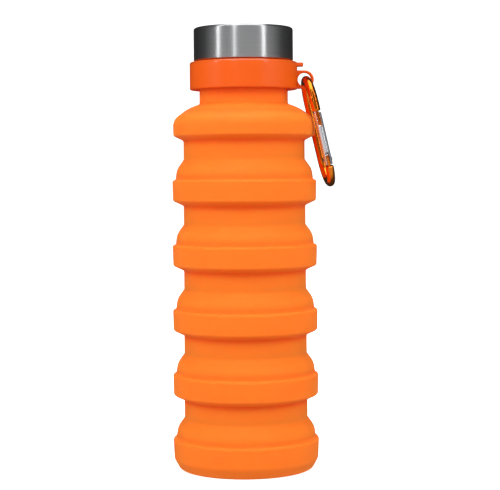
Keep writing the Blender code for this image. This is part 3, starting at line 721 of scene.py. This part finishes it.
def makeBody(finish):
    shape = bodyShape
    outer, inner, ledges = bodyRuns()
    cuts = [(ledge + shape["cutLow"], ledge + shape["cutHigh"]) for ledge in ledges[:5]]
    top = outer[-1, 1]
    bodies = ["base", "ring_1", "ring_2", "ring_3", "ring_4", "shoulder"]
    nodes = ["base_cup"] + [f"fold_ring_{i}" for i in range(1, 5)] + ["shoulder_neck"]
    steps = shape["steps"]
    for stage, (body, node) in enumerate(zip(bodies, nodes)):
        low = cuts[stage - 1][1] if stage else outer[0, 1]
        high = cuts[stage][0] if stage < 5 else top
        out = denser(between(outer, low, high), steps["outside"])
        back = denser(between(inner, low if stage else shape["floor"], high), steps["inside"])[::-1]
        loop = np.concatenate([out, back])
        surface = turnedSurface(loop, stage > 0, shape["sides"])
        settle(makePiece(f"{body}_silicone", [surface], finish), body, "silicone", node)
    for fold, (low, high) in enumerate(cuts):
        out = denser(between(outer, low, high), steps["foldOutside"])
        back = denser(between(inner, low, high), steps["foldInside"])[::-1]
        surface = turnedSurface(np.concatenate([out, back]), True, shape["sides"])
        piece = makePiece(f"fold_{fold + 1}_silicone", [surface], finish)
        start = (0, 0, ledges[fold] + shape["wallRise"] - shape["blendEarly"])
        end = (0, 0, ledges[fold] + shape["foldRise"] + shape["blendLate"])
        bodies[fold + 1]
        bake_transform(piece)
        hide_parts(f"fold_web_{fold + 1}")


collarShape = {
    "sides": 192,
    "topRound": 1.7 * mm,
    "topCorner": 0.3 * mm,
    "footRound": 0.6 * mm,
    "footReach": 4.5 * mm,  # the foot runs in under the neck's bead
    "footHeight": 4 * mm,
    "wall": 2.1 * mm,
    "lugThickness": 2.6 * mm,
    "lugEdge": 0.7 * mm,
    "lugGap": 0.2 * mm,
    "lugHole": 3.3 * mm,
    "lugRim": 4.6 * mm,
    "lugShift": 0.2 * mm,  # the rim's middle lies this far outside the hole's
    "lugRise": 4.9 * mm,
    "lugRoot": 1.4 * mm,
    "tabThickness": 1.8 * mm,
    "tabEdge": 0.35 * mm,
    "tabRoot": 1.2 * mm,
    "tabReach": 3 * mm,
    "tabHalfWidth": 3.5 * mm,
    "tabRound": 1.2 * mm,
    "tabDrop": 0.5 * mm,
}


def lugSurface(centre, holeRadius, rim, rootReach, thickness, edge, sides=72, steps=4):
    # A flat eye round a hole. For each turn, its section is a rounded rectangle that starts at
    # the hole's edge and ends at the rim, or at the straight root on the collar's side.
    turn = np.arange(sides) * math.tau / sides
    cosine, sine = np.cos(turn), np.sin(turn)
    shift = collarShape["lugShift"]
    roundReach = shift * cosine + np.sqrt(rim**2 - (shift * sine) ** 2)
    flatReach = np.minimum(rootReach / np.maximum(-cosine, 1e-6), rim / np.maximum(abs(sine), 1e-6))
    reach = np.where(cosine < 0, flatReach, roundReach)
    bend = np.linspace(0, math.pi / 2, steps + 1)
    drawnIn = edge * (1 - np.cos(bend))  # how far a point of the rounded edge is from the face
    rise = thickness / 2 - edge + edge * np.sin(bend)
    outward = reach[:, None] - np.concatenate([drawnIn[::-1], drawnIn])[None]
    inward = holeRadius + np.concatenate([drawnIn[::-1], drawnIn])[::-1][None]
    radial = np.concatenate([outward, np.repeat(inward, sides, 0)], 1)
    height = np.concatenate([-rise[::-1], rise])
    height = np.concatenate([height, height[::-1]])
    points = np.stack([centre[0] + radial * cosine[:, None],
                       centre[1] + np.repeat(height[None], sides, 0),
                       centre[2] + radial * sine[:, None]], 2)
    return points.reshape(-1, 3), gridFaces(sides, radial.shape[1], True, True).tolist()


def makeCollar(finish):
    shape = collarShape
    low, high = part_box("collar_ring")
    foot, top = float(low[2]), float(high[2])
    radius = -float(low[0])
    inside, wall = radius - shape["footReach"], radius - shape["wall"]
    ring = roundedRun([
        (inside, foot), (radius, foot, shape["footRound"]),
        (radius, top, shape["topRound"]), (wall, top, shape["topCorner"]),
        (wall, foot + shape["footHeight"]), (inside, foot + shape["footHeight"])])
    surfaces = [turnedSurface(denser(ring, 2 * mm), True, shape["sides"])]
    lugX = radius + shape["lugGap"] + shape["lugHole"]
    centre = (lugX, 0, foot + shape["lugRise"])
    surfaces.append(lugSurface(centre, shape["lugHole"], shape["lugRim"], lugX - radius + shape["lugRoot"],
                               shape["lugThickness"], shape["lugEdge"]))
    root, tip, half = radius - shape["tabRoot"], radius + shape["tabReach"], shape["tabHalfWidth"]
    tab = roundedRun([
        (root, -half), (tip, -half, shape["tabRound"]), (tip, half, shape["tabRound"]), (root, half)])
    lift = Matrix.Translation((0, 0, top - shape["tabDrop"] - shape["tabThickness"] / 2))
    surfaces.append(placed(slabSurface(tab, shape["tabThickness"], shape["tabEdge"]), lift))
    piece = makePiece("collar", surfaces, finish, 35)
    settle(piece, "shoulder", "hard_plastic", "collar_ring")


lidShape = {
    "sides": 192,
    "topRound": 1.25 * mm,
    "shellWall": 0.5 * mm,
    "shellCorner": 0.2 * mm,
    "shellInnerRound": 0.8 * mm,
    "linerInset": 0.8 * mm,
    "linerWall": 1.6 * mm,
    "linerTop": 1.5 * mm,
    "linerRound": 1.2 * mm,
    "linerCorner": 0.4 * mm,
    "gasketWidth": 5.1 * mm,
    "gasketRound": 0.35 * mm,
    "threadLead": 8 * mm,
    "threadRadius": 0.9 * mm,
    "threadSink": 0.2 * mm,  # how far a thread's middle lies off its wall
    "threadStarts": (0, 0.5),
    "mouthThreadFoot": 2.4 * mm,
    "mouthThreadTurns": 0.8,
    "linerThreadFoot": 2.0 * mm,
    "linerThreadLag": 2 * mm,
    "linerThreadTurns": 0.58,
}

mouthShape = {
    "spout": 20.7 * mm,  # radii
    "bore": 18.2 * mm,
    "sleeve": 19.9 * mm,
    "flange": 24.55 * mm,
    "flangeThickness": 5.2 * mm,
    "sleeveRound": 0.3 * mm,
    "flangeRound": 0.2 * mm,
    "rootRound": 0.5 * mm,
    "lipRound": 0.7 * mm,
}


def threadSurface(radius, start, turns, foot):
    # A bar along a helix: angle = start + turns, height = foot + lead times the turn;
    # its radius fades at both ends.
    steps = int(turns * 90)
    share = np.linspace(0, 1, steps + 1)
    angle = math.tau * (start + turns * share)
    path = np.stack([radius * np.cos(angle), radius * np.sin(angle),
                     foot + lidShape["threadLead"] * turns * share], 1)
    fade = np.clip(np.minimum(share, 1 - share) * turns * 16, 0, 1)
    thick = lidShape["threadRadius"] * (0.45 + 0.55 * fade * fade * (3 - 2 * fade))
    return barSurface(path, thick, (0, 0, 1), 16, 0.6)


def makeMouth(finish):
    shape = mouthShape
    collarTop = float(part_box("collar_ring")[1][2])
    low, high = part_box("threaded_mouth")
    foot, top = float(low[2]), float(high[2])
    bore, sleeve, flange, spout = shape["bore"], shape["sleeve"], shape["flange"], shape["spout"]
    flangeFoot = collarTop - shape["flangeThickness"]
    run = roundedRun([
        (bore, foot, shape["sleeveRound"]), (sleeve, foot, shape["sleeveRound"]), (sleeve, flangeFoot),
        (flange, flangeFoot), (flange, collarTop, shape["flangeRound"]),
        (spout, collarTop, shape["rootRound"]),
        (spout, top, shape["lipRound"]), (bore, top, shape["lipRound"])])
    surfaces = [turnedSurface(denser(run, 2 * mm), True, lidShape["sides"])]
    for start in lidShape["threadStarts"]:
        surfaces.append(threadSurface(spout + lidShape["threadSink"], start, lidShape["mouthThreadTurns"],
                                      collarTop + lidShape["mouthThreadFoot"]))
    settle(makePiece("mouth", surfaces, finish), "shoulder", "hard_plastic", "threaded_mouth")


def makeLid(plastic, steel, rubber):
    shape = lidShape
    collarTop = float(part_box("collar_ring")[1][2])
    low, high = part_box("lid_shell")
    foot, top, radius = float(low[2]), float(high[2]), float(high[0])
    ceiling, inner = top - shape["shellWall"], radius - shape["shellWall"]
    run = roundedRun([
        (0, top), (radius, top, shape["topRound"]), (radius, foot, shape["shellCorner"]),
        (inner, foot, shape["shellCorner"]), (inner, ceiling, shape["shellInnerRound"]), (0, ceiling)])
    shell = turnedSurface(denser(run, 1.6 * mm)[::-1], False, shape["sides"])
    settle(makePiece("lidShell", [shell], steel), "lid", "brushed_steel", "lid_shell")

    low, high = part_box("lid_liner")
    foot, top = float(low[2]), float(high[2])
    outside = radius - shape["linerInset"]
    inside = outside - shape["linerWall"]
    ceiling = top - shape["linerTop"]
    run = roundedRun([
        (0, top), (outside, top, shape["linerRound"]), (outside, foot, shape["linerCorner"]),
        (inside, foot, shape["linerCorner"]), (inside, ceiling, 0.3 * mm), (0, ceiling)])
    surfaces = [turnedSurface(denser(run, 2 * mm)[::-1], False, shape["sides"])]
    # The liner's ridges are turned so that they lie between those of the mouth.
    ridgeFoot = collarTop + shape["linerThreadFoot"]
    aboveMouth = ridgeFoot - shape["linerThreadLag"] - collarTop - shape["mouthThreadFoot"]
    early = aboveMouth / shape["threadLead"]
    for start in shape["threadStarts"]:
        surfaces.append(threadSurface(inside - shape["threadSink"], early + start,
                                      shape["linerThreadTurns"], ridgeFoot))
    settle(makePiece("lidLiner", surfaces, plastic), "lid", "hard_plastic", "lid_liner")

    low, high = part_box("lid_gasket")
    foot, top, outside = float(low[2]), float(high[2]), float(high[0])
    inside, corner = outside - shape["gasketWidth"], shape["gasketRound"]
    run = roundedRun([
        (inside, foot, corner), (outside, foot, corner), (outside, top, corner), (inside, top, corner)])
    ring = turnedSurface(denser(run, 1 * mm), True, 128)
    settle(makePiece("lidGasket", [ring], rubber), "gasket", "gasket_rubber", "lid_gasket")


hookShape = {
    "rod": 2.1 * mm,
    "rodEnd": 0.35,  # how domed the rod's ends are
    "bend": 12.3 * mm,  # radius of the top bend
    "heel": 12.0 * mm,
    "heelPastRivet": 3.9 * mm,
    "length": 57 * mm,
    "nose": 4.6 * mm,
    "noseEnd": 0.7 * mm,
    "gap": 0.3 * mm,  # between the nose and the gate
    "rivetInset": 1.8 * mm,
    "tongue": 1.3 * mm,
    "tongueEdge": 0.25 * mm,
    "tongueWidth": 3.3 * mm,
    "tongueLength": 7 * mm,
    "tongueRoot": 1.2 * mm,
    "tongueRound": 1.1 * mm,
    "latchDrop": 3.4 * mm,  # the latch pin lies this far under the gate's top
    "notchHalf": 0.85 * mm,  # the nose tongue's notch for the latch pin
    "notchRound": 0.4 * mm,
    "notchDepth": 0.4 * mm,
    "heelRoot": 5.2 * mm,
    "heelRootIn": (0.6 * mm, 1.2 * mm),  # how the heel's tongue leans at its root
    "heelTop": 2 * mm,
    "heelRound": 0.8 * mm,
    "rivet": 0.6 * mm,
    "rivetHead": 0.3 * mm,
    "rivetHeadRadius": 1.0 * mm,
}

gateShape = {
    "length": 25.9 * mm,
    "heel": 2.0 * mm,
    "tail": 0.8 * mm,  # thin tips of the fork, past the heel
    "radius": 2.05 * mm,
    "footRound": 0.35 * mm,
    "topRound": 1.3 * mm,
    "bore": 1.35 * mm,
    "boreTop": 15.7 * mm,
    "slot": 1.9 * mm,
    "slotEdge": 0.2 * mm,
    "noseSlot": 7.4 * mm,
    "heelSlot": 6.4 * mm,
    "rivetHole": 0.75 * mm,
    "latchHole": 0.62 * mm,
    "latch": 0.5 * mm,
    "latchShort": 0.25 * mm,  # the pin's ends stay this far inside the tube's outside
    "latchShift": -0.4 * mm,
    "past": 1 * mm,  # how far the slots and the bore's cut run on past the ends
    "plungerFoot": 2.3 * mm,
    "plunger": 0.9 * mm,
    "plungerLength": 4 * mm,
    "springGap": 4.32 * mm,
    "springTop": 15.38 * mm,
    "springTurns": 8,
    "springRadius": 0.85 * mm,
    "wire": 0.17 * mm,
}


def hookFrames():
    # The hook's own axes: X towards the gate, Y up along it, Z out of its plane; and the gate's.
    across = Vector(joints["gate_open"]["axis"]).normalized()
    up = across.cross(Vector((0, -1, 0))).normalized()
    origin = Vector(joints["carabiner_swing"]["pos_m"])
    gateUp = Vector(joints["plunger_push"]["axis"]).normalized()
    gateUp = (gateUp - across * gateUp.dot(across)).normalized()
    pivot = Vector(joints["gate_open"]["pos_m"])
    frames = []
    for start, rise in ((origin, up), (pivot, gateUp)):
        matrix = Matrix.Identity(4)
        for k, axis in enumerate((rise.cross(across), rise, across)):
            matrix.col[k][:3] = axis
        matrix.col[3][:3] = start
        frames.append(matrix)
    return frames


def hookPath():
    # Heel arc, spine, top bend and nose in the hook's plane, as one run of points.
    shape = hookShape
    bend, heel = shape["bend"], shape["heel"]
    rivetX = bend - shape["rivetInset"]
    rivetY = -(bend + shape["nose"] + shape["gap"] + gateShape["length"] - gateShape["heel"])
    spineFoot = -(shape["length"] - 2 * shape["rod"] - heel)
    start = -math.asin((spineFoot - (rivetY - shape["heelPastRivet"])) / heel)
    low = np.linspace(start, -math.pi, 50)
    high = np.linspace(math.pi, 0, 60)
    spine = np.linspace(spineFoot, -bend, 20)[1:-1]
    nose = np.linspace(-bend, -bend - shape["nose"] + shape["noseEnd"], 6)[1:]
    runs = [
        np.stack([heel - bend + heel * np.cos(low), spineFoot + heel * np.sin(low)], 1),
        np.stack([np.full(len(spine), -bend), spine], 1),
        np.stack([bend * np.cos(high), -bend + bend * np.sin(high)], 1),
        np.stack([np.full(len(nose), bend), nose], 1),
    ]
    flat = np.concatenate(runs)
    return np.column_stack([flat, np.zeros(len(flat))]), (rivetX, rivetY)


def rivetRun(shape):
    # A straight pin with a flat round head at each end, as a run of radius and height.
    head, pin, wide = shape["rivetHead"], shape["rivet"], shape["rivetHeadRadius"]
    headFoot = gateShape["radius"] - 0.1 * mm
    return roundedRun([
        (0, -headFoot - head), (wide, -headFoot - head, 0.2 * mm), (wide, -headFoot, 0.05 * mm),
        (pin, -headFoot), (pin, headFoot), (wide, headFoot, 0.05 * mm),
        (wide, headFoot + head, 0.2 * mm), (0, headFoot + head)])


def makeHook(anodised, pins):
    shape = hookShape
    hook, gate = hookFrames()
    path, (rivetX, rivetY) = hookPath()
    rod = placed(barSurface(path, shape["rod"], (0, 0, 1), 40, shape["rodEnd"]), hook)
    settle(makePiece("hookRod", [rod], anodised), "carabiner", "anodised_orange", "carabiner_frame")

    bend, half = shape["bend"], shape["tongueWidth"] / 2
    noseFoot = -bend - shape["nose"]
    noseTop, noseEnd = noseFoot + shape["tongueRoot"], noseFoot - shape["tongueLength"]
    latchY = noseFoot - shape["gap"] - shape["latchDrop"]
    notch, corner, end = shape["notchHalf"], shape["notchRound"], shape["tongueRound"]
    floor = bend - shape["notchDepth"] + notch
    nose = roundedRun([
        (bend - half, noseTop), (bend - half, latchY + notch, 0.3 * mm),
        (floor, latchY + notch, corner), (floor, latchY - notch, corner),
        (bend - half, latchY - notch, corner), (bend - half, noseEnd, end),
        (bend + half, noseEnd, end), (bend + half, noseTop)], 5)
    heelRoot, heelTop = rivetY - shape["heelRoot"], rivetY + shape["heelTop"]
    leanIn, leanOut = shape["heelRootIn"]
    heel = roundedRun([
        (rivetX - half - leanIn, heelRoot), (rivetX + half - leanOut, heelRoot),
        (rivetX + half, heelTop, shape["heelRound"]), (rivetX - half, heelTop, shape["heelRound"])], 5)
    tongues = [placed(slabSurface(outline, shape["tongue"], shape["tongueEdge"]), hook)
               for outline in (nose, heel)]
    settle(makePiece("hookTongues", tongues, anodised, 35), "carabiner", "anodised_orange")

    rivet = placed(turnedSurface(rivetRun(shape), False, 40), gate)
    settle(makePiece("gateRivet", [rivet], pins), "carabiner", "steel", "gate_rivet")


def cutAway(name, surface, cutters):
    # Cuts closed surfaces out of another, and gives the points and faces that are left,
    # with the slivers that the cuts leave merged away.
    plain = bpy.data.materials.new("cutting")
    close = 0.002 * mm
    target = makePiece(name, [surface], plain)
    helpers = [makePiece(f"{name}Cutter{k}", [cutter], plain) for k, cutter in enumerate(cutters)]
    for helper in helpers:
        modifier = target.modifiers.new(helper.name, "BOOLEAN")
        modifier.operation = "DIFFERENCE"
        modifier.solver = "EXACT"
        modifier.object = helper
    bpy.context.view_layer.update()
    graph = bpy.context.evaluated_depsgraph_get()
    mesh = bpy.data.meshes.new_from_object(target.evaluated_get(graph))
    work = bmesh.new()
    work.from_mesh(mesh)
    bmesh.ops.remove_doubles(work, verts=work.verts, dist=close)
    bmesh.ops.dissolve_degenerate(work, edges=work.edges, dist=close)
    work.to_mesh(mesh)
    work.free()
    points = np.empty(len(mesh.vertices) * 3)
    mesh.vertices.foreach_get("co", points)
    loops = np.empty(len(mesh.loops), int)
    mesh.loops.foreach_get("vertex_index", loops)
    starts = np.empty(len(mesh.polygons), int)
    mesh.polygons.foreach_get("loop_start", starts)
    faces = [part.tolist() for part in np.split(loops, starts[1:])]
    points = points.reshape(-1, 3)
    for thing in [target] + helpers:
        bpy.data.objects.remove(thing)
    bpy.data.meshes.remove(mesh)
    bpy.data.materials.remove(plain)
    return points, faces


def slotOutline(roundEnd, openEnd, half):
    # A slot with a half-round closed end and a square open end, run anticlockwise.
    upwards = 1 if openEnd > roundEnd else -1
    angle = np.linspace(0, math.pi, 17) + (math.pi if upwards > 0 else 0)
    arc = np.stack([half * np.cos(angle), roundEnd + half * np.sin(angle)], 1)
    return np.concatenate([arc, [(upwards * half, openEnd), (-upwards * half, openEnd)]])


def pinSurface(radius, low, high, sides):
    # A plain round pin that stands on its own Z axis, for cutting holes.
    return turnedSurface(np.array([(0, low), (radius, low), (radius, high), (0, high)]), False, sides)


def makeGateTube(finish, gate, standing, latchPlace):
    shape = gateShape
    radius, half, past = shape["radius"], shape["slot"] / 2, shape["past"]
    top, heel = shape["length"] - shape["heel"], -shape["heel"]
    foot = heel - shape["tail"]
    run = roundedRun([
        (0, foot), (radius, foot, shape["footRound"]), (radius, top, shape["topRound"]), (0, top)])
    across = Matrix.Rotation(-math.pi / 2, 4, "Y")  # a slot's outline turns into the gate's YZ plane
    slots = [
        slotOutline(top - shape["noseSlot"] + half, top + past, half),
        slotOutline(foot + shape["heelSlot"] - half, foot - past, half),
    ]
    cutters = [placed(pinSurface(shape["bore"], foot - past, shape["boreTop"], 48), standing)]
    cutters += [placed(slabSurface(slot, 8 * radius, shape["slotEdge"]), across) for slot in slots]
    cutters.append(pinSurface(shape["rivetHole"], -5 * mm, 5 * mm, 24))
    cutters.append(placed(pinSurface(shape["latchHole"], -5 * mm, 5 * mm, 24), latchPlace))
    body = cutAway("gateBlank", placed(turnedSurface(denser(run, 3 * mm), False, 64), standing), cutters)
    tube = makePiece("gateTube", [placed(body, gate)], finish, 30)
    settle(tube, "gate", "bare_aluminium", "carabiner_gate")


def makeGateSpring(finish, gate):
    # A wire along a helix: its ends' heights are fixed.
    shape = gateShape
    foot, top = shape["plungerFoot"] + shape["springGap"], shape["springTop"]
    turns, radius = shape["springTurns"], shape["springRadius"]
    share = np.linspace(0, 1, turns * 32 + 1)
    angle = math.tau * turns * share
    coil = np.stack([radius * np.cos(angle), foot + (top - foot) * share, radius * np.sin(angle)], 1)
    wire = placed(barSurface(coil, shape["wire"], (0, 1, 0), 10, 1.0), gate)
    spring = makePiece("gateSpring", [wire], finish)
    settle(spring, "gate", "steel", "gate_spring")
    push = joints["plunger_push"]["range_m"][1]
    keep = 1 - push / (top - foot)
    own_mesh(spring)


def makeGate(aluminium, pins):
    shape = gateShape
    gate = hookFrames()[1]
    standing = Matrix.Rotation(-math.pi / 2, 4, "X")  # a turned run's height becomes the gate's Y
    latchY = shape["length"] - shape["heel"] - hookShape["latchDrop"]
    latchPlace = Matrix.Translation((shape["latchShift"], latchY, 0))
    makeGateTube(aluminium, gate, standing, latchPlace)

    half, latch = shape["radius"] - shape["latchShort"], shape["latch"]
    run = roundedRun([(0, -half), (latch, -half, 0.15 * mm), (latch, half, 0.15 * mm), (0, half)])
    pin = placed(turnedSurface(run, False, 32), gate @ latchPlace)
    settle(makePiece("latchPin", [pin], pins), "gate", "steel", "latch_pin")

    radius, length = shape["plunger"], shape["plungerLength"]
    run = roundedRun([(0, 0), (radius, 0, 0.4 * mm), (radius, length, 0.2 * mm), (0, length)])
    place = gate @ Matrix.Translation((0, shape["plungerFoot"], 0)) @ standing
    plunger = placed(turnedSurface(run, False, 40), place)
    settle(makePiece("gatePlunger", [plunger], pins), "plunger", "steel", "gate_plunger")
    makeGateSpring(pins, gate)


studio = {
    "floorTone": 0.9,
    "floorGlow": 0.75,
    "floor": {"front": -3.0, "back": 2.0, "bend": 1.2, "top": 4.0, "halfWidth": 5},
    "roomForMatte": [(0.0, 0.85), (0.47, 0.72), (0.53, 0.3), (1.0, 0.38)],
    "roomForGloss": [(0.0, 0.03), (0.19, 0.04), (0.44, 0.08), (0.63, 0.14), (0.85, 0.2), (1.0, 0.26)],
    "tableEdge": (0.48, 0.42),  # from the horizon down, the table takes the room's place
    "tableForGloss": [(0.0, 0.03), (0.4, 0.08), (0.66, 0.7), (1.0, 0.7)],
    "lights": {
        # where it stands, what it points at, width, height, watts, lights matte, shows in gloss
        "overhead": ((0.0, -0.15, 1.4), (0, 0, 0.1), 1.2, 1.2, 11.5, True, True),
        "highFront": ((0.0, -1.15, 1.15), (0, 0, 0.11), 1.3, 0.9, 8.3, True, False),
        "front": ((0.0, -2.0, 0.3), (0, 0, 0.11), 1.6, 1.2, 2.8, True, False),
        "leftSide": ((-1.4, -0.6, 0.6), (0, 0, 0.11), 1.0, 1.2, 11.0, True, False),
        "rightSide": ((1.4, -0.6, 0.6), (0, 0, 0.11), 1.0, 1.2, 10.0, True, False),
        "behind": ((0.0, 1.6, 0.8), (0, 0, 0.11), 1.4, 1.0, 10.0, True, False),
    },
    "strips": {  # degrees round from the camera's side, width, height, watts
        "leftStrip": (-60.0, 0.11, 1.2, 2.0),
        "middleStrip": (-20.0, 0.11, 1.2, 1.1),
        "rightStrip": (48.5, 0.12, 1.2, 2.0),
    },
    "stripDistance": 1.1,
    "stripHeight": 0.78,
    "stripDip": 0.4,  # how much lower a strip's aim is
}


def pointAt(thing, place, target):
    aim = (Vector(target) - Vector(place)).to_track_quat("-Z", "Y")
    thing.matrix_world = Matrix.Translation(place) @ aim.to_matrix().to_4x4()


def addPanel(name, place, target, width, height, watts, forMatte, inGloss):
    data = bpy.data.lights.new(name, "AREA")
    data.shape = "RECTANGLE"
    data.size, data.size_y = width, height
    data.energy = watts
    made = bpy.data.objects.new(name, data)
    bpy.context.scene.collection.objects.link(made)
    pointAt(made, place, target)
    made.visible_camera = False
    made.visible_diffuse = forMatte
    made.visible_glossy = inGloss
    return made


def makeFloor():
    # A sheet that lies flat and then turns up in a wide arc behind the object.
    shape = studio["floor"]
    back, bend = shape["back"], shape["bend"]
    turn = np.linspace(0, math.pi / 2, 24)
    depth = np.concatenate([[shape["front"], back], back + bend * np.sin(turn[1:]), [back + bend]])
    rise = np.concatenate([[0, 0], bend * (1 - np.cos(turn[1:])), [shape["top"]]])
    across = np.linspace(-shape["halfWidth"], shape["halfWidth"], 11)
    points = np.stack([np.repeat(across[None], len(depth), 0), np.repeat(depth[:, None], len(across), 1),
                       np.repeat(rise[:, None], len(across), 1)], 2).reshape(-1, 3)
    made, shader, wire = newFinish("paleFloor")
    cloud = grain(wire, objectPlace(wire), 3.0, 2.0)
    tone = studio["floorTone"]
    wire.feed(shader.inputs["Base Color"], blendColours(wire, cloud, (tone * 0.985,) * 3, (tone,) * 3))
    setSockets(shader, {
        "Roughness": 0.8, "Emission Color": (1, 1, 1, 1), "Emission Strength": studio["floorGlow"]})
    floor = makePiece("floor", [(points, gridFaces(len(depth), len(across), False, False).tolist())], made)
    floor.visible_glossy = False
    floor.visible_diffuse = False


def makeRoom():
    # White where the camera looks past the floor. Matte light is stronger from below the horizon
    # than from above it. Reflections are brightest in front of the object and fall off round to
    # its back, and below the horizon they show a bright table.
    world = bpy.data.worlds.new("room")
    world.use_nodes = True
    bpy.context.scene.world = world
    wire = Wire(world.node_tree)
    rays = wire.node("ShaderNodeLightPath")
    seen = Wire(world.node_tree, rays.socket.node.outputs["Is Camera Ray"])
    gloss = Wire(world.node_tree, rays.socket.node.outputs["Is Glossy Ray"])
    way = wire.node("ShaderNodeTexCoord")
    depth, rise = threeNumbers(wire, way)[1:]
    facing = 0.5 - depth * 0.5
    height = rise * 0.5 + 0.5
    shine, white, soft = [
        wire.node("ShaderNodeValToRGB", {"stops": [(at, (tone,) * 3) for at, tone in stops]}, {"Fac": way})
        for stops, way in ((studio["roomForGloss"], facing), (studio["tableForGloss"], facing),
                           (studio["roomForMatte"], height))]
    table = rampBetween(wire, height, *studio["tableEdge"])
    shine = shine + table * (white - shine)
    level = seen + (1 - seen) * (gloss * shine + (1 - gloss) * soft)
    back = world.node_tree.nodes["Background"]
    back.inputs["Color"].default_value = (1, 1, 1, 1)
    wire.feed(back.inputs["Strength"], level)


def makeLights():
    for name, (place, target, width, height, watts, matte, gloss) in studio["lights"].items():
        addPanel(name, place, target, width, height, watts, matte, gloss)
    for name, (degrees, width, height, watts) in studio["strips"].items():
        turn = math.radians(degrees)
        far = studio["stripDistance"]
        place = (far * math.sin(turn), -far * math.cos(turn), studio["stripHeight"])
        target = (0, 0, studio["stripHeight"] - studio["stripDip"])
        addPanel(name, place, target, width, height, watts, True, True)


cameraView = {
    "place": (0.0026, -0.75007, 0.1500),
    "lens": 107.28,
    "roll": -0.0077,
    "pitch": -0.0498,
}


def makeCamera():
    data = bpy.data.cameras.new("camera")
    data.sensor_width = 36
    data.lens = cameraView["lens"]
    data.clip_start = 0.01
    data.dof.use_dof = False
    made = bpy.data.objects.new("camera", data)
    bpy.context.scene.collection.objects.link(made)
    level = math.pi / 2 + cameraView["pitch"]
    turn = Matrix.Rotation(level, 4, "X") @ Matrix.Rotation(cameraView["roll"], 4, "Z")
    made.matrix_world = Matrix.Translation(cameraView["place"]) @ turn
    bpy.context.scene.camera = made


silicone = siliconeFinish()
plastic = plasticFinish()
brushed = brushedSteelFinish()
anodised = anodisedFinish()
gateAxes = hookFrames()[1]
gateUp = tuple(gateAxes.col[1][:3])
aluminium = linedFinish("satinAluminium", "gate", gateUp)
pins = linedFinish("platedSteel", "pins", tuple(gateAxes.col[2][:3]))
rubber = linedFinish("whiteRubber", "gasket", (0.0, 0.0, 1.0))
print("finishes made")
makeBody(silicone)
print("silicone body made")
makeCollar(plastic)
makeMouth(plastic)
makeLid(plastic, brushed, rubber)
print("collar, mouth and lid made")
makeHook(anodised, pins)
makeGate(aluminium, pins)
print("snap hook made")
makeFloor()
makeRoom()
makeLights()
makeCamera()
bpy.context.scene.view_settings.view_transform = "Standard"
print("studio made")
